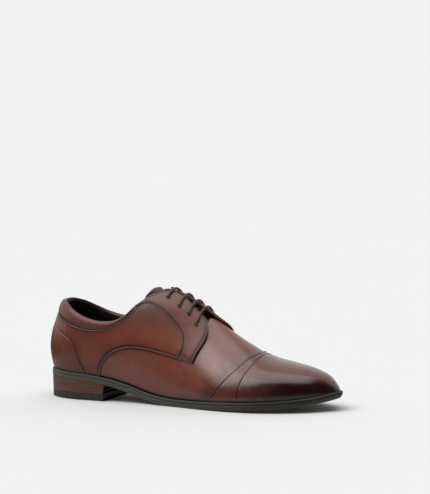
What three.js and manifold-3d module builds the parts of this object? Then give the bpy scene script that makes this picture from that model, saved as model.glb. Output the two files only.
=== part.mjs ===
// A man's cap-toe derby, right foot, with a stacked heel and four rows of blind eyelets.
//
// Frame: millimetres, toe towards +X, outer (lateral) side towards -Y, up +Z. The origin is on the
// floor under the middle of the shoe. All pieces are laid out from the back of the sole, x = 0, and
// the finished shoe is moved to that origin at the end.
//
// The upper's pieces are all layers of one surface, the outside of the vamp. A place on it is (s, v):
// s runs from the heel (0) to the toe (1), and v round the girth from the lateral feather edge (-1)
// over the ridge of the instep (0) to the medial feather edge (+1). A layer is that surface moved
// along its normal, and each piece is cut out of its layer along its seams.

import * as THREE from 'three';
import { mergeVertices } from 'three/addons/utils/BufferGeometryUtils.js';
import Module from 'manifold-3d';

const wasm = await Module();
wasm.setup();

// ---------------------------------------------------------------- driving dimensions

const SOLE_LENGTH = 300;
const UPPER_BACK = 3;
const UPPER_FRONT = 296.5;
const CLEARANCE = 0.3;
const LEATHER = 1.3;
const WELT = 2.6;
const OUTSOLE = 4.3;
const TOP_PIECE = 6.8;
const LIFT_STEP = 3.7;
const BREAST_X = 68;
const BREAST_RADIUS = 72;
const BREAST_HALF_WIDTH = 33;
const WELT_WIDTH = 11;
const INSOLE_INSET = 9;
const INSOLE = 2;
const SOCK = 1;
const HEEL_PAD = 2;
const NAIL_RADIUS = 1.2;
const NAIL_FOOT_Z = 9;
const LACE_RADIUS = 1.25;
const LACE_UNDER = -3.1;
const LACE_OVER = 4.8;
const AGLET_LENGTH = 5;
// The medial facing reaches further forward than the lateral one, in units of s.
const MEDIAL_FORWARD = 0.029;
const MEDIAL_EYELETS_FORWARD = 0.011;
// The plane that divides the lateral cuts from the medial ones runs along the ridge.
const RIDGE_Y = -3.6;
const REACH = 90;
const THROAT_X = 196;
const SKY = 145;
const GROUND = -12;

// Layers of the upper, as distances out from the vamp's outside.
const VAMP = [-LEATHER, 0];
const TOE_CAP = [CLEARANCE, CLEARANCE + 1.2];
const QUARTER = [CLEARANCE, CLEARANCE + LEATHER];
const COLLAR = [CLEARANCE, CLEARANCE + 1.8];
const FACING = [1.9, 3.1];
const STIFFENER = [-2.9, -1.6];
const PADDING = [-2.9, 0];
const LINING = [-4.2, -3.2];

// ---------------------------------------------------------------- curves

// A smooth function through the points [x, y], with a slope at each point from its neighbours.
function through(points) {
  const slopes = points.slice(1).map((p, i) => (p[1] - points[i][1]) / (p[0] - points[i][0]));
  const tangents = points.map((p, i) => {
    if (i === 0 || i === points.length - 1) return 0;
    const before = p[0] - points[i - 1][0];
    const after = points[i + 1][0] - p[0];
    return (slopes[i - 1] * after + slopes[i] * before) / (before + after);
  });
  const last = points.length - 1;
  tangents[0] = 2 * slopes[0] - tangents[1];
  tangents[last] = 2 * slopes[last - 1] - tangents[last - 1];
  return (x) => {
    let i = 0;
    while (i < last - 1 && x > points[i + 1][0]) i += 1;
    const step = points[i + 1][0] - points[i][0];
    const t = (x - points[i][0]) / step;
    const rise = points[i + 1][1] - points[i][1];
    const ease = t * t * (3 - 2 * t);
    const start = t * (1 - t) * (1 - t) * step * tangents[i];
    const end = t * t * (t - 1) * step * tangents[i + 1];
    return points[i][1] + rise * ease + start + end;
  };
}

// The same, for values at eleven equal steps of s.
const along = (values) => through(values.map((value, i) => [i / 10, value]));

const smooth = (t) => THREE.MathUtils.smoothstep(t, 0, 1);

// x at a place s, with the stations drawn together at the heel and the toe.
const stationX = (s, back, front) => back + (front - back) * (1 - Math.cos(Math.PI * s)) / 2;

// ---------------------------------------------------------------- the shoe's own curves

const soleHalfWidth = along([0, 19, 31.2, 33.2, 31.8, 36.5, 47.2, 48, 35, 17.3, 0]);
const centreLine = along([0, 0, -0.3, -0.8, -2.8, -4.5, -3.2, 1, 4, 5.8, 6]);

// Height of the sole's top face: heel seat, waist, ball and toe spring.
const soleTop = through([
  [0, 27.6], [30, 26.2], [60, 24.1], [75, 21.9], [86, 19.4], [97, 16.4], [108, 13], [119, 10.2],
  [130, 8.3], [142, 7.4], [155, 7.2], [180, 7.9], [200, 8.7], [220, 9.5], [240, 10.7], [256, 11.8],
  [272, 13.3], [287, 15.9], [300, 19.2],
]);

const featherHalfWidth = along([0, 16.4, 28.2, 30.2, 28.6, 33, 43.6, 44.4, 31.6, 14.8, 0]);
const sideBulge = along([0, 4.5, 8.5, 6.5, 9, 5, 2.5, 2.5, 1.8, 1, 0]);
const bulgeHeight = along([0.4, 0.4, 0.4, 0.4, 0.4, 0.32, 0.36, 0.58, 0.62, 0.62, 0.62]);
const crownWidth = along([0.75, 0.78, 0.8, 0.88, 0.75, 0.4, 0.44, 0.58, 0.6, 0.6, 0.6]);

// Height of the ridge, from the open ankle down the instep to the toe.
const ridge = through([
  [3, 122], [31, 122], [63.5, 120], [104, 111.5], [120, 108.5], [136, 104.3], [150, 98.3], [165, 89.2],
  [180, 78.6], [195, 68], [210, 58.4], [222, 50.9], [236, 45.9], [250, 42.9], [262, 40.3],
  [272, 37.7], [280, 34.8], [286, 31.8], [291, 29], [294.5, 27.3], [296.5, 26.3],
]);

// How far the back of the heel and the front of the toe move in x with height over the feather edge.
const heelProfile = through([
  [-5, 1], [0, -0.6], [11, -3.4], [21, -4.4], [31, -3.4], [38, -1.8], [48, 1.8], [58, 5.4],
  [68, 8.8], [80, 12], [100, 16],
]);
const toeProfile = through([[-1, 0], [0, 0], [2, -0.3], [5, -2], [7, -3.5], [9, -4.4]]);

// ---------------------------------------------------------------- the surface

function surface(s, v) {
  const x = stationX(s, UPPER_BACK, UPPER_FRONT);
  const feather = soleTop(x);
  const height = Math.max(ridge(x) - feather, 0.5);
  const half = featherHalfWidth(s);
  const t = 1 - Math.abs(v);
  const side = v < 0 ? -1 : 1;
  const b0 = (1 - t) ** 3;
  const b1 = 3 * (1 - t) ** 2 * t;
  const b2 = 3 * (1 - t) * t * t;
  const b3 = t ** 3;
  const y = b0 * half + b1 * (half + sideBulge(s)) + b2 * crownWidth(s) * half;
  const rise = height * (b1 * bulgeHeight(s) + b2 + b3);
  const heelShift = heelProfile(rise) * (1 - smooth(s / 0.38));
  const toeShift = toeProfile(rise) * smooth((s - 0.85) / 0.15);
  return new THREE.Vector3(x + heelShift + toeShift, centreLine(s) + side * y, feather + rise);
}

function normal(s, v) {
  const step = 1e-4;
  const inner = THREE.MathUtils.clamp(s, 0.002, 0.998);
  const alongShoe = surface(inner + step, v).sub(surface(inner - step, v));
  const roundShoe = surface(inner, Math.min(v + step, 1)).sub(surface(inner, Math.max(v - step, -1)));
  const out = roundShoe.cross(alongShoe).negate();
  if (s <= 0 || s >= 1) out.y = 0;
  return out.normalize();
}

// The point at a distance out from the surface, kept just above the sole. The two sides meet in one
// line at the heel and the toe.
function skin(s, v, distance) {
  const place = s <= 0 || s >= 1 ? Math.abs(v) : v;
  const point = surface(s, place).addScaledVector(normal(s, place), distance);
  const floor = soleTop(THREE.MathUtils.clamp(point.x, 0, SOLE_LENGTH)) + CLEARANCE;
  point.z = Math.abs(v) === 1 ? floor : Math.max(point.z, floor);
  return point;
}

// ---------------------------------------------------------------- solids

// Collects triangles and turns them into a solid.
class Faces {
  constructor() {
    this.positions = [];
  }

  quad(a, b, c, d) {
    for (const point of [a, b, c, a, c, d]) this.positions.push(point.x, point.y, point.z);
  }

  solid() {
    const geometry = new THREE.BufferGeometry();
    geometry.setAttribute('position', new THREE.Float32BufferAttribute(this.positions, 3));
    return toSolid(geometry);
  }
}

function toSolid(geometry) {
  const plain = geometry.clone();
  plain.deleteAttribute('normal');
  plain.deleteAttribute('uv');
  const merged = mergeVertices(plain, 1e-4);
  const index = merged.index.array;
  const kept = [];
  for (let i = 0; i < index.length; i += 3) {
    const [a, b, c] = [index[i], index[i + 1], index[i + 2]];
    if (a !== b && b !== c && c !== a) kept.push(a, b, c);
  }
  const mesh = new wasm.Mesh({
    numProp: 3,
    vertProperties: new Float32Array(merged.attributes.position.array),
    triVerts: new Uint32Array(kept),
  });
  return new wasm.Manifold(mesh);
}

function toGeometry(solid) {
  const mesh = solid.getMesh();
  const geometry = new THREE.BufferGeometry();
  geometry.setAttribute('position', new THREE.Float32BufferAttribute(mesh.vertProperties, 3));
  geometry.setIndex(new THREE.Uint32BufferAttribute(mesh.triVerts, 1));
  geometry.computeVertexNormals();
  return geometry;
}

// Lines of the grid that every layer shares, closer together where the layers change depth.
const S_LINES = [
  0, 0.04, 0.1, 0.17, 0.24, 0.285, 0.335, 0.385, 0.415, 0.455, 0.495, 0.53, 0.56, 0.61, 0.67, 0.74,
  0.81, 0.88, 0.93, 0.97, 1,
];
const V_HALF = [0, 0.1, 0.2, 0.32, 0.44, 0.58, 0.72, 0.86, 1];
const V_LINES = [...V_HALF.slice(1).reverse().map((v) => -v), ...V_HALF];

const atDepth = (depth, s, v) => (typeof depth === 'function' ? depth(s, v) : depth);

// A whole layer of the upper: a thin bag, open underneath.
function layer([inner, outer]) {
  const faces = new Faces();
  const grid = (depth) => S_LINES.map((s) => V_LINES.map((v) => skin(s, v, atDepth(depth, s, v))));
  const outside = grid(outer);
  const inside = grid(inner);
  const lastV = V_LINES.length - 1;
  for (let i = 0; i < S_LINES.length - 1; i += 1) {
    for (let j = 0; j < lastV; j += 1) {
      faces.quad(outside[i][j], outside[i + 1][j], outside[i + 1][j + 1], outside[i][j + 1]);
      faces.quad(inside[i][j], inside[i][j + 1], inside[i + 1][j + 1], inside[i + 1][j]);
    }
    faces.quad(outside[i][0], inside[i][0], inside[i + 1][0], outside[i + 1][0]);
    faces.quad(outside[i][lastV], outside[i + 1][lastV], inside[i + 1][lastV], inside[i][lastV]);
  }
  return faces.solid();
}

// A prism along Y over an outline in x and z, seen from the lateral side.
function sidePrism(outline, fromY, toY) {
  const shape = new THREE.Shape(outline.map(([x, z]) => new THREE.Vector2(x, z)));
  const geometry = new THREE.ExtrudeGeometry(shape, { depth: toY - fromY, bevelEnabled: false });
  geometry.rotateX(Math.PI / 2);
  geometry.translate(0, toY, 0);
  return toSolid(geometry);
}

// A prism along Z over an outline in x and y.
function topPrism(outline, fromZ, toZ) {
  const shape = new THREE.Shape(outline.map(([x, y]) => new THREE.Vector2(x, y)));
  const geometry = new THREE.ExtrudeGeometry(shape, { depth: toZ - fromZ, bevelEnabled: false });
  geometry.translate(0, 0, fromZ);
  return toSolid(geometry);
}

// Seams are smooth lines through places [s, |v|] on the surface.
const LATERAL = -1;
const MEDIAL = 1;

// The medial half of the lacing sits further forward than the lateral half. The shift fades out
// towards the ankle, the toe cap and the feather edge.
function forward(s, v, side) {
  if (side === LATERAL) return 0;
  const lacing = smooth((s - 0.39) / 0.05) * (1 - smooth((s - 0.56) / 0.04));
  return MEDIAL_FORWARD * lacing * (1 - smooth((v - 0.66) / 0.2));
}

function seam(places, side, samples = 11) {
  const curve = new THREE.SplineCurve(places.map(([s, v]) => new THREE.Vector2(s, v)));
  return curve.getPoints(samples).map(({ x: s, y: v }) => surface(s + forward(s, v, side), side * v));
}

// A seam's points as seen from the side, with an optional shift.
const sideView = (points, dx = 0, dz = 0) => points.map(({ x, z }) => [x + dx, z + dz]);
const planView = (points) => points.map(({ x, y }) => [x, y]);

// ---------------------------------------------------------------- seams

const TOPLINE = [
  [0.01, 0.45], [0.08, 0.448], [0.136, 0.47], [0.203, 0.522], [0.248, 0.558], [0.298, 0.572],
  [0.339, 0.536], [0.363, 0.469], [0.383, 0.367], [0.404, 0.275],
];
const COLLAR_SEAM = [
  [0.01, 0.555], [0.05, 0.562], [0.096, 0.579], [0.16, 0.605], [0.217, 0.637], [0.27, 0.65],
  [0.314, 0.62], [0.353, 0.536], [0.385, 0.394],
];
const HEEL_SEAM = [[0.099, 0.605], [0.118, 0.66], [0.173, 0.709], [0.223, 0.779], [0.242, 0.897], [0.257, 1]];
const QUARTER_EDGE = [
  [0.3, 1], [0.304, 0.926], [0.32, 0.835], [0.357, 0.743], [0.406, 0.684], [0.453, 0.661],
  [0.499, 0.654], [0.53, 0.648],
];
const FACING_FRONT = [[0.529, 0.65], [0.537, 0.558], [0.549, 0.415], [0.551, 0.345], [0.548, 0.27]];
const FACING_REAR = [
  [0.393, 0.35], [0.41, 0.308], [0.429, 0.312], [0.454, 0.352], [0.479, 0.41], [0.495, 0.46],
  [0.5, 0.541], [0.492, 0.637],
];
const LACING_EDGE_LATERAL = [
  [0.39, 0.33], [0.405, 0.262], [0.423, 0.165], [0.441, 0.085], [0.468, 0.035], [0.486, 0.065], [0.513, 0.145],
  [0.538, 0.19], [0.552, 0.26],
];
const LACING_EDGE_MEDIAL = [
  [0.39, 0.33], [0.4, 0.25], [0.41, 0.16], [0.425, 0.08], [0.446, 0.03], [0.476, 0.02], [0.506, 0.03],
  [0.531, 0.05], [0.545, 0.1], [0.552, 0.2],
];
const VAMP_EDGE = [
  [0.285, 1], [0.289, 0.92], [0.304, 0.81], [0.342, 0.7], [0.4, 0.63], [0.45, 0.605], [0.497, 0.59],
  [0.52, 0.5], [0.538, 0.4], [0.543, 0.25], [0.545, 0.1],
];
const CAP_EDGE = [
  [0.571, 1], [0.573, 0.975], [0.592, 0.832], [0.612, 0.686], [0.629, 0.544], [0.643, 0.36],
  [0.654, 0.146], [0.658, 0],
];

// Everything in front of a line that starts at the feather edge and ends on the ridge.
function inFrontOf(places, dx = 0) {
  const half = (side, fromY, toY) => {
    const line = sideView(seam(places, side), dx);
    const [startX] = line[0];
    const [endX] = line[line.length - 1];
    const outline = [[startX, GROUND], ...line, [endX, SKY], [320, SKY], [320, GROUND]];
    return sidePrism(outline, fromY, toY);
  };
  return half(LATERAL, -REACH, RIDGE_Y + 0.01).add(half(MEDIAL, RIDGE_Y - 0.01, REACH));
}

// The foot's opening: everything above the topline.
function mouth(dz = 0) {
  const line = sideView(seam(TOPLINE, LATERAL, 14), 0, dz);
  const [, backZ] = line[0];
  const [frontX] = line[line.length - 1];
  const outline = [[-30, backZ], ...line, [frontX, SKY], [-30, SKY]];
  return sidePrism(outline, -REACH, REACH);
}

// The gap between the two facings, from above; grow widens it.
function lacingGap(grow) {
  const lateral = planView(seam(LACING_EDGE_LATERAL, LATERAL, 12)).map(([x, y]) => [x + grow / 2, y - grow]);
  const medial = planView(seam(LACING_EDGE_MEDIAL, MEDIAL, 12)).map(([x, y]) => [x + grow / 2, y + grow]);
  const throat = [THROAT_X, RIDGE_Y - 8];
  return topPrism([...lateral, throat, ...medial.reverse()], 60, SKY);
}

const sideBand = (side) => (side === LATERAL ? [-REACH, RIDGE_Y - 0.2] : [RIDGE_Y + 0.2, REACH]);

// ---------------------------------------------------------------- the lace

// Eyelets from the throat to the top, as [s, |v|]; the lace's bars join like rows.
const EYELETS = [[0.524, 0.328], [0.504, 0.267], [0.481, 0.236], [0.453, 0.185]];
const eyeletPlace = ([s, v], side) => [side === MEDIAL ? s + MEDIAL_EYELETS_FORWARD : s, side * v];

// A place [s, v, distance] on or under the upper, as a point.
const layerPoint = ([s, v, distance]) => skin(s, v, distance);

// One bar over the facings: up out of a lateral eyelet, across, and down into the medial one.
function bar(eyelet) {
  const [s0, v0] = eyeletPlace(eyelet, LATERAL);
  const [s1, v1] = eyeletPlace(eyelet, MEDIAL);
  const at = (t, distance) => [s0 + (s1 - s0) * t, v0 + (v1 - v0) * t, distance];
  return [
    at(-0.02, 0.8), at(0.05, LACE_OVER - 0.4), at(0.3, LACE_OVER), at(0.5, LACE_OVER), at(0.7, LACE_OVER),
    at(0.95, LACE_OVER - 0.4), at(1.02, 0.8),
  ];
}

// A hidden run under the lining, from a medial eyelet back to the next lateral one.
function hiddenRun(fromEyelet, toEyelet) {
  const [s0, v0] = eyeletPlace(fromEyelet, MEDIAL);
  const [s1, v1] = eyeletPlace(toEyelet, LATERAL);
  const at = (t) => [s0 + (s1 - s0) * t, v0 + (v1 - v0) * t, LACE_UNDER];
  return [at(0.06), at(0.35), at(0.65), at(0.94)];
}

function laceRoute() {
  const [first] = EYELETS;
  const [firstS, firstV] = eyeletPlace(first, LATERAL);
  const route = [[firstS - 0.045, firstV - 0.03, LACE_UNDER], [firstS - 0.015, firstV + 0.03, LACE_UNDER]];
  EYELETS.forEach((eyelet, row) => {
    route.push(...bar(eyelet));
    if (row < EYELETS.length - 1) route.push(...hiddenRun(eyelet, EYELETS[row + 1]));
  });
  // The end comes back up between the facings, under the top bar.
  const [topS, topV] = eyeletPlace(EYELETS[EYELETS.length - 1], MEDIAL);
  route.push(
    [topS - 0.003, topV - 0.04, LACE_UNDER], [topS - 0.007, topV - 0.13, LACE_UNDER],
    [topS - 0.012, 0, -1.7], [topS - 0.018, -0.005, 0.6], [topS - 0.025, -0.005, 1.5],
  );
  return route.map(layerPoint);
}

function tube(points, radius, steps) {
  const path = new THREE.CatmullRomCurve3(points, false, 'centripetal');
  const section = new THREE.Shape();
  for (let i = 0; i < 8; i += 1) {
    const angle = i * Math.PI / 4;
    const [x, y] = [radius * Math.cos(angle), radius * Math.sin(angle)];
    if (i === 0) section.moveTo(x, y);
    else section.lineTo(x, y);
  }
  const geometry = new THREE.ExtrudeGeometry(section, { steps, bevelEnabled: false, extrudePath: path });
  return toSolid(geometry);
}

const LACE_STEPS = 88;
const lacePoints = laceRoute();
const lace = tube(lacePoints, LACE_RADIUS, LACE_STEPS);

// What the lace passes through has holes a little wider than it.
const laceHoles = tube(lacePoints, LACE_RADIUS + CLEARANCE, LACE_STEPS);

// A hard tip that carries on from an end of the lace.
function aglet(end, before) {
  const direction = end.clone().sub(before).normalize();
  const near = end.clone().addScaledVector(direction, CLEARANCE);
  const far = near.clone().addScaledVector(direction, AGLET_LENGTH);
  return tube([near, near.clone().lerp(far, 0.5), far], LACE_RADIUS - 0.1, 2);
}

// ---------------------------------------------------------------- the upper's pieces

function quarter(side) {
  const edge = sideView(seam(QUARTER_EDGE, side));
  const front = sideView(seam(FACING_FRONT, side, 8), -2);
  const collar = sideView(seam(COLLAR_SEAM.slice(2), side), 0, -0.3).reverse();
  const heel = sideView(seam(HEEL_SEAM, side, 10), 0.5);
  const [frontX] = front[front.length - 1];
  const [collarX] = collar[0];
  const outline = [
    [edge[0][0], GROUND], ...edge, ...front.slice(1), [frontX, SKY], [collarX + 0.5, SKY],
    [collarX + 0.5, collar[0][1]], ...collar.slice(1), ...heel, [heel[heel.length - 1][0], GROUND],
  ];
  return layer(QUARTER)
    .intersect(sidePrism(outline, ...sideBand(side)))
    .subtract(mouth())
    .subtract(lacingGap(2))
    .subtract(laceHoles);
}

function facing(side) {
  const front = sideView(seam(FACING_FRONT, side, 8));
  const rear = sideView(seam(FACING_REAR, side));
  const [tip] = front;
  const foot = rear[rear.length - 1];
  const outline = [
    ...rear, [foot[0], foot[1] - 2], [tip[0] - 1, tip[1] - 1], ...front,
    [front[front.length - 1][0], SKY], [rear[0][0], SKY],
  ];
  return layer(FACING)
    .intersect(sidePrism(outline, ...sideBand(side)))
    .subtract(mouth())
    .subtract(lacingGap(0))
    .subtract(laceHoles);
}

function heelFoxing() {
  const collar = sideView(seam(COLLAR_SEAM.slice(0, 3), LATERAL, 6), 0, -0.3);
  const heel = sideView(seam(HEEL_SEAM, LATERAL, 10));
  const outline = [
    [-30, collar[0][1]], ...collar.slice(0, -1), ...heel.slice(1), [heel[heel.length - 1][0], GROUND],
    [-30, GROUND],
  ];
  return layer(QUARTER).intersect(sidePrism(outline, -REACH, REACH));
}

// Everything above the collar seam, up to its front end.
function collarZone(dz) {
  const line = sideView(seam(COLLAR_SEAM, LATERAL), 0, dz);
  const [frontX] = line[line.length - 1];
  return sidePrism([[-30, line[0][1]], ...line, [frontX, SKY], [-30, SKY]], -REACH, REACH);
}

function heelCounter() {
  const line = sideView(seam(COLLAR_SEAM.slice(0, 6), LATERAL, 8), 0, -1.5);
  const outline = [[-30, GROUND], [-30, line[0][1]], ...line.slice(0, -1), [78, 58], [84, 30], [84, GROUND]];
  return layer(STIFFENER).intersect(sidePrism(outline, -REACH, REACH));
}

// The lining lies deep in the shoe, but close under the facings, where the laces pass below it.
const underFacings = (s, v) => smooth((0.56 - Math.abs(v)) / 0.12) * smooth((s - 0.385) / 0.03);
const liningDepth = (deep, close) => (s, v) => THREE.MathUtils.lerp(deep, close, underFacings(s, v));
const QUARTER_LINING = [liningDepth(LINING[0], -1), liningDepth(LINING[1], 0)];

const LINING_SPLIT_X = 52;
const LINING_FRONT = [
  [0.465, 1], [0.465, 0.85], [0.465, 0.74], [0.465, 0.64], [0.483, 0.54], [0.503, 0.45], [0.508, 0.3],
  [0.512, 0.1],
];

function quarterLining(side) {
  const front = sideView(seam(LINING_FRONT, side, 10), -0.5);
  const [startX] = front[0];
  const [endX] = front[front.length - 1];
  const outline = [
    [LINING_SPLIT_X + 0.2, GROUND], [startX, GROUND], ...front, [endX, SKY], [LINING_SPLIT_X + 0.2, SKY],
  ];
  return layer(QUARTER_LINING)
    .intersect(sidePrism(outline, ...sideBand(side)))
    .subtract(mouth(-0.4))
    .subtract(lacingGap(1))
    .subtract(laceHoles);
}

function heelLining() {
  const outline = [[-30, GROUND], [-30, SKY], [LINING_SPLIT_X - 0.2, SKY], [LINING_SPLIT_X - 0.2, GROUND]];
  return layer(LINING).intersect(sidePrism(outline, -REACH, REACH)).subtract(mouth(-0.4));
}

const VAMP_LINING_EDGE = [
  [0.467, 1], [0.467, 0.85], [0.467, 0.74], [0.469, 0.64], [0.51, 0.54], [0.56, 0.45], [0.585, 0.3],
  [0.605, 0.05],
];

// The tongue dips under the lace's hidden runs and rises again behind the top row.
const tongueDepth = through([
  [0, -1.8], [0.4, -1.8], [0.425, -2.1], [0.455, -5.3], [0.53, -5.3], [0.56, -4.9], [0.59, -1.8], [1, -1.7],
]);
const TONGUE = [(s) => tongueDepth(s) - LEATHER, tongueDepth];
const TONGUE_LINING = [(s) => tongueDepth(s) - 2.6, (s) => tongueDepth(s) - LEATHER - CLEARANCE];
const TONGUE_BASE_X = 187;

// The tongue's outline from above; trim draws its lining in.
function tongueOutline(trim) {
  const half = [
    [TONGUE_BASE_X - trim, 0], [TONGUE_BASE_X - trim - 1, 11 - trim], [176, 15 - trim], [160, 15.5 - trim],
    [140, 14.5 - trim], [122, 15.5 - trim], [112 + trim, 16 - trim], [108 + trim, 10], [107 + trim, 0],
  ];
  const medial = half.map(([x, y]) => [x, RIDGE_Y + y]);
  const lateral = half.slice(1, -1).reverse().map(([x, y]) => [x, RIDGE_Y - y]);
  return topPrism([...medial, ...lateral], 58, SKY);
}

// ---------------------------------------------------------------- the bottom's pieces

// A part of the sole between two heights, drawn in from the sole's edge by an inset.
function slab({ inset, fromS = 0, toS = 1, halfWidth, bottom, top, steps = 20 }) {
  const rows = [];
  for (let i = 0; i <= steps; i += 1) {
    const s = fromS + (toS - fromS) * i / steps;
    const x = stationX(s, inset, SOLE_LENGTH - inset);
    const edge = soleHalfWidth(s);
    const half = Math.max(halfWidth ?? edge - inset * Math.min(1, edge / 20), 0);
    const y = centreLine(s);
    const corner = (side, height) => new THREE.Vector3(x, y + side * half, height(x));
    rows.push([corner(-1, bottom), corner(1, bottom), corner(1, top), corner(-1, top)]);
  }
  const faces = new Faces();
  for (let i = 0; i < steps; i += 1) {
    for (let j = 0; j < 4; j += 1) {
      const k = (j + 1) % 4;
      faces.quad(rows[i][j], rows[i][k], rows[i + 1][k], rows[i + 1][j]);
    }
  }
  const [start, end] = [rows[0], rows[steps]];
  faces.quad(start[3], start[2], start[1], start[0]);
  faces.quad(...end);
  return faces.solid();
}

const weltBottom = (x) => soleTop(x) - WELT;
const outsoleTop = (x) => weltBottom(x) - CLEARANCE;
const outsoleBottom = (x) => outsoleTop(x) - OUTSOLE;
const insoleBottom = (x) => soleTop(x) + CLEARANCE;
const insoleTop = (x) => insoleBottom(x) + INSOLE;
const padTop = (x) => insoleTop(x) + CLEARANCE + HEEL_PAD * (1 - smooth((x - 50) / 30));
const sockBottom = (x) => padTop(x) + CLEARANCE;

function welt() {
  const whole = slab({ inset: 0, bottom: weltBottom, top: soleTop, steps: 24 });
  const middle = slab({ inset: WELT_WIDTH, bottom: (x) => weltBottom(x) - 5, top: (x) => soleTop(x) + 5 });
  return whole.subtract(middle);
}

function breastCutter() {
  const centreX = BREAST_X + Math.sqrt(BREAST_RADIUS ** 2 - BREAST_HALF_WIDTH ** 2);
  const geometry = new THREE.CylinderGeometry(BREAST_RADIUS, BREAST_RADIUS, 60, 64);
  geometry.rotateX(Math.PI / 2);
  geometry.translate(centreX, 0, 10);
  return toSolid(geometry);
}

function heelPiece(inset, bottom, top) {
  return slab({ inset, toS: 0.322, bottom, top, steps: 10 }).subtract(breastCutter());
}

const NAIL_PLACES = [[22, -9], [22, 9], [40, -14], [40, 14], [16, 0]];

function nail([x, y], radius, fromZ, toZ) {
  const geometry = new THREE.CylinderGeometry(radius, radius, toZ - fromZ, 8);
  geometry.rotateX(Math.PI / 2);
  geometry.translate(x, y, (fromZ + toZ) / 2);
  return toSolid(geometry);
}

const nailHoles = NAIL_PLACES
  .map((place) => nail(place, NAIL_RADIUS + CLEARANCE, NAIL_FOOT_Z - CLEARANCE, 40))
  .reduce((all, hole) => all.add(hole));

// ---------------------------------------------------------------- assembly

const shoe = new THREE.Group();
const laid = new THREE.Group();
shoe.add(laid);

const LOOKS = {
  leather: { color: 0x4a2419, roughness: 0.3 },
  darkLeather: { color: 0x35190f, roughness: 0.35 },
  lining: { color: 0x241a15, roughness: 0.7 },
  board: { color: 0x8a7558, roughness: 0.9 },
  cork: { color: 0x9a7448, roughness: 0.95 },
  foam: { color: 0xb9b2a4, roughness: 0.95 },
  soleEdge: { color: 0x24221e, roughness: 0.55 },
  stackedHeel: { color: 0x3b1f16, roughness: 0.45 },
  rubber: { color: 0x2a2a28, roughness: 0.75 },
  steel: { color: 0x9a9ca0, roughness: 0.35, metalness: 0.9 },
  lace: { color: 0x2e2622, roughness: 0.8 },
};

function add(name, look, solid) {
  const mesh = new THREE.Mesh(toGeometry(solid), new THREE.MeshStandardMaterial(LOOKS[look]));
  mesh.name = name;
  laid.add(mesh);
}

add('heel_top_piece', 'rubber', heelPiece(0.8, () => 0, () => TOP_PIECE));
for (let i = 0; i < 3; i += 1) {
  const bottom = () => TOP_PIECE + CLEARANCE + i * LIFT_STEP;
  const flatTop = () => TOP_PIECE + (i + 1) * LIFT_STEP;
  const top = i < 2 ? flatTop : (x) => outsoleBottom(x) - CLEARANCE;
  add(`heel_lift_${i + 1}`, 'stackedHeel', heelPiece(0.6 - i * 0.15, bottom, top).subtract(nailHoles));
}
const outsole = slab({ inset: 0, bottom: outsoleBottom, top: outsoleTop, steps: 24 });
add('outsole', 'soleEdge', outsole.subtract(nailHoles));
add('welt', 'soleEdge', welt());
add('shank', 'steel', slab({
  inset: 20, fromS: 0.19, toS: 0.5, halfWidth: 7, steps: 8,
  bottom: (x) => weltBottom(x) + 0.3, top: (x) => weltBottom(x) + 1.5,
}));
add('bottom_filler', 'cork', slab({
  inset: WELT_WIDTH + 1.2, fromS: 0.53, bottom: weltBottom, top: soleTop, steps: 10,
}));
NAIL_PLACES.forEach((place, i) => {
  add(`heel_nail_${i + 1}`, 'steel', nail(place, NAIL_RADIUS, NAIL_FOOT_Z, soleTop(place[0] + 1) - 0.3));
});
add('insole_board', 'board', slab({ inset: INSOLE_INSET, bottom: insoleBottom, top: insoleTop, steps: 18 }));
add('heel_pad', 'foam', slab({
  inset: INSOLE_INSET + 2, toS: 0.31, bottom: (x) => insoleTop(x) + CLEARANCE, top: padTop, steps: 8,
}));
add('sock_liner', 'lining', slab({
  inset: INSOLE_INSET + 0.5, bottom: sockBottom, top: (x) => sockBottom(x) + SOCK, steps: 18,
}));
add('vamp', 'leather', layer(VAMP).intersect(inFrontOf(VAMP_EDGE)));
add('toe_cap', 'darkLeather', layer(TOE_CAP).intersect(inFrontOf(CAP_EDGE)));
add('toe_puff', 'board', layer(STIFFENER).intersect(inFrontOf(CAP_EDGE, 8)));
add('vamp_lining', 'lining', layer(LINING).intersect(inFrontOf(VAMP_LINING_EDGE)));
add('quarter_lateral', 'leather', quarter(LATERAL));
add('quarter_medial', 'leather', quarter(MEDIAL));
add('facing_lateral', 'leather', facing(LATERAL));
add('facing_medial', 'leather', facing(MEDIAL));
add('heel_foxing', 'leather', heelFoxing());
add('heel_counter', 'board', heelCounter());
add('collar', 'darkLeather', layer(COLLAR).intersect(collarZone(0.3)).subtract(mouth()));
add('collar_padding', 'foam', layer(PADDING).intersect(collarZone(0.5)).subtract(mouth(-1.5)));
add('heel_lining', 'lining', heelLining());
add('quarter_lining_lateral', 'lining', quarterLining(LATERAL));
add('quarter_lining_medial', 'lining', quarterLining(MEDIAL));
add('tongue', 'leather', layer(TONGUE).intersect(tongueOutline(0)));
add('tongue_lining', 'lining', layer(TONGUE_LINING).intersect(tongueOutline(1)));
add('lace', 'lace', lace);
add('aglet_hidden', 'soleEdge', aglet(lacePoints[0], lacePoints[1]));
add('aglet_top', 'soleEdge', aglet(lacePoints[lacePoints.length - 1], lacePoints[lacePoints.length - 2]));

// Move the shoe so that its box is centred over the origin and stands on the floor.
const box = new THREE.Box3().setFromObject(laid);
const centre = box.getCenter(new THREE.Vector3());
laid.position.set(-centre.x, -centre.y, -box.min.z);

export default shoe;
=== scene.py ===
"""The looks of a man's right cap-toe derby: polished leather over the CAD frame.

Lengths are millimetres from the back of the sole until a mesh is made. The upper's pieces are layers of one
surface, as in the CAD: a place on it is (s, v), with s from the heel (0) to the toe (1), and v round the girth
from the lateral feather edge (-1) over the ridge (0) to the medial one (+1).
"""

import math

import bmesh
import bpy
import numpy as np
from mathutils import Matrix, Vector
from mathutils.geometry import delaunay_2d_cdt


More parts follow.
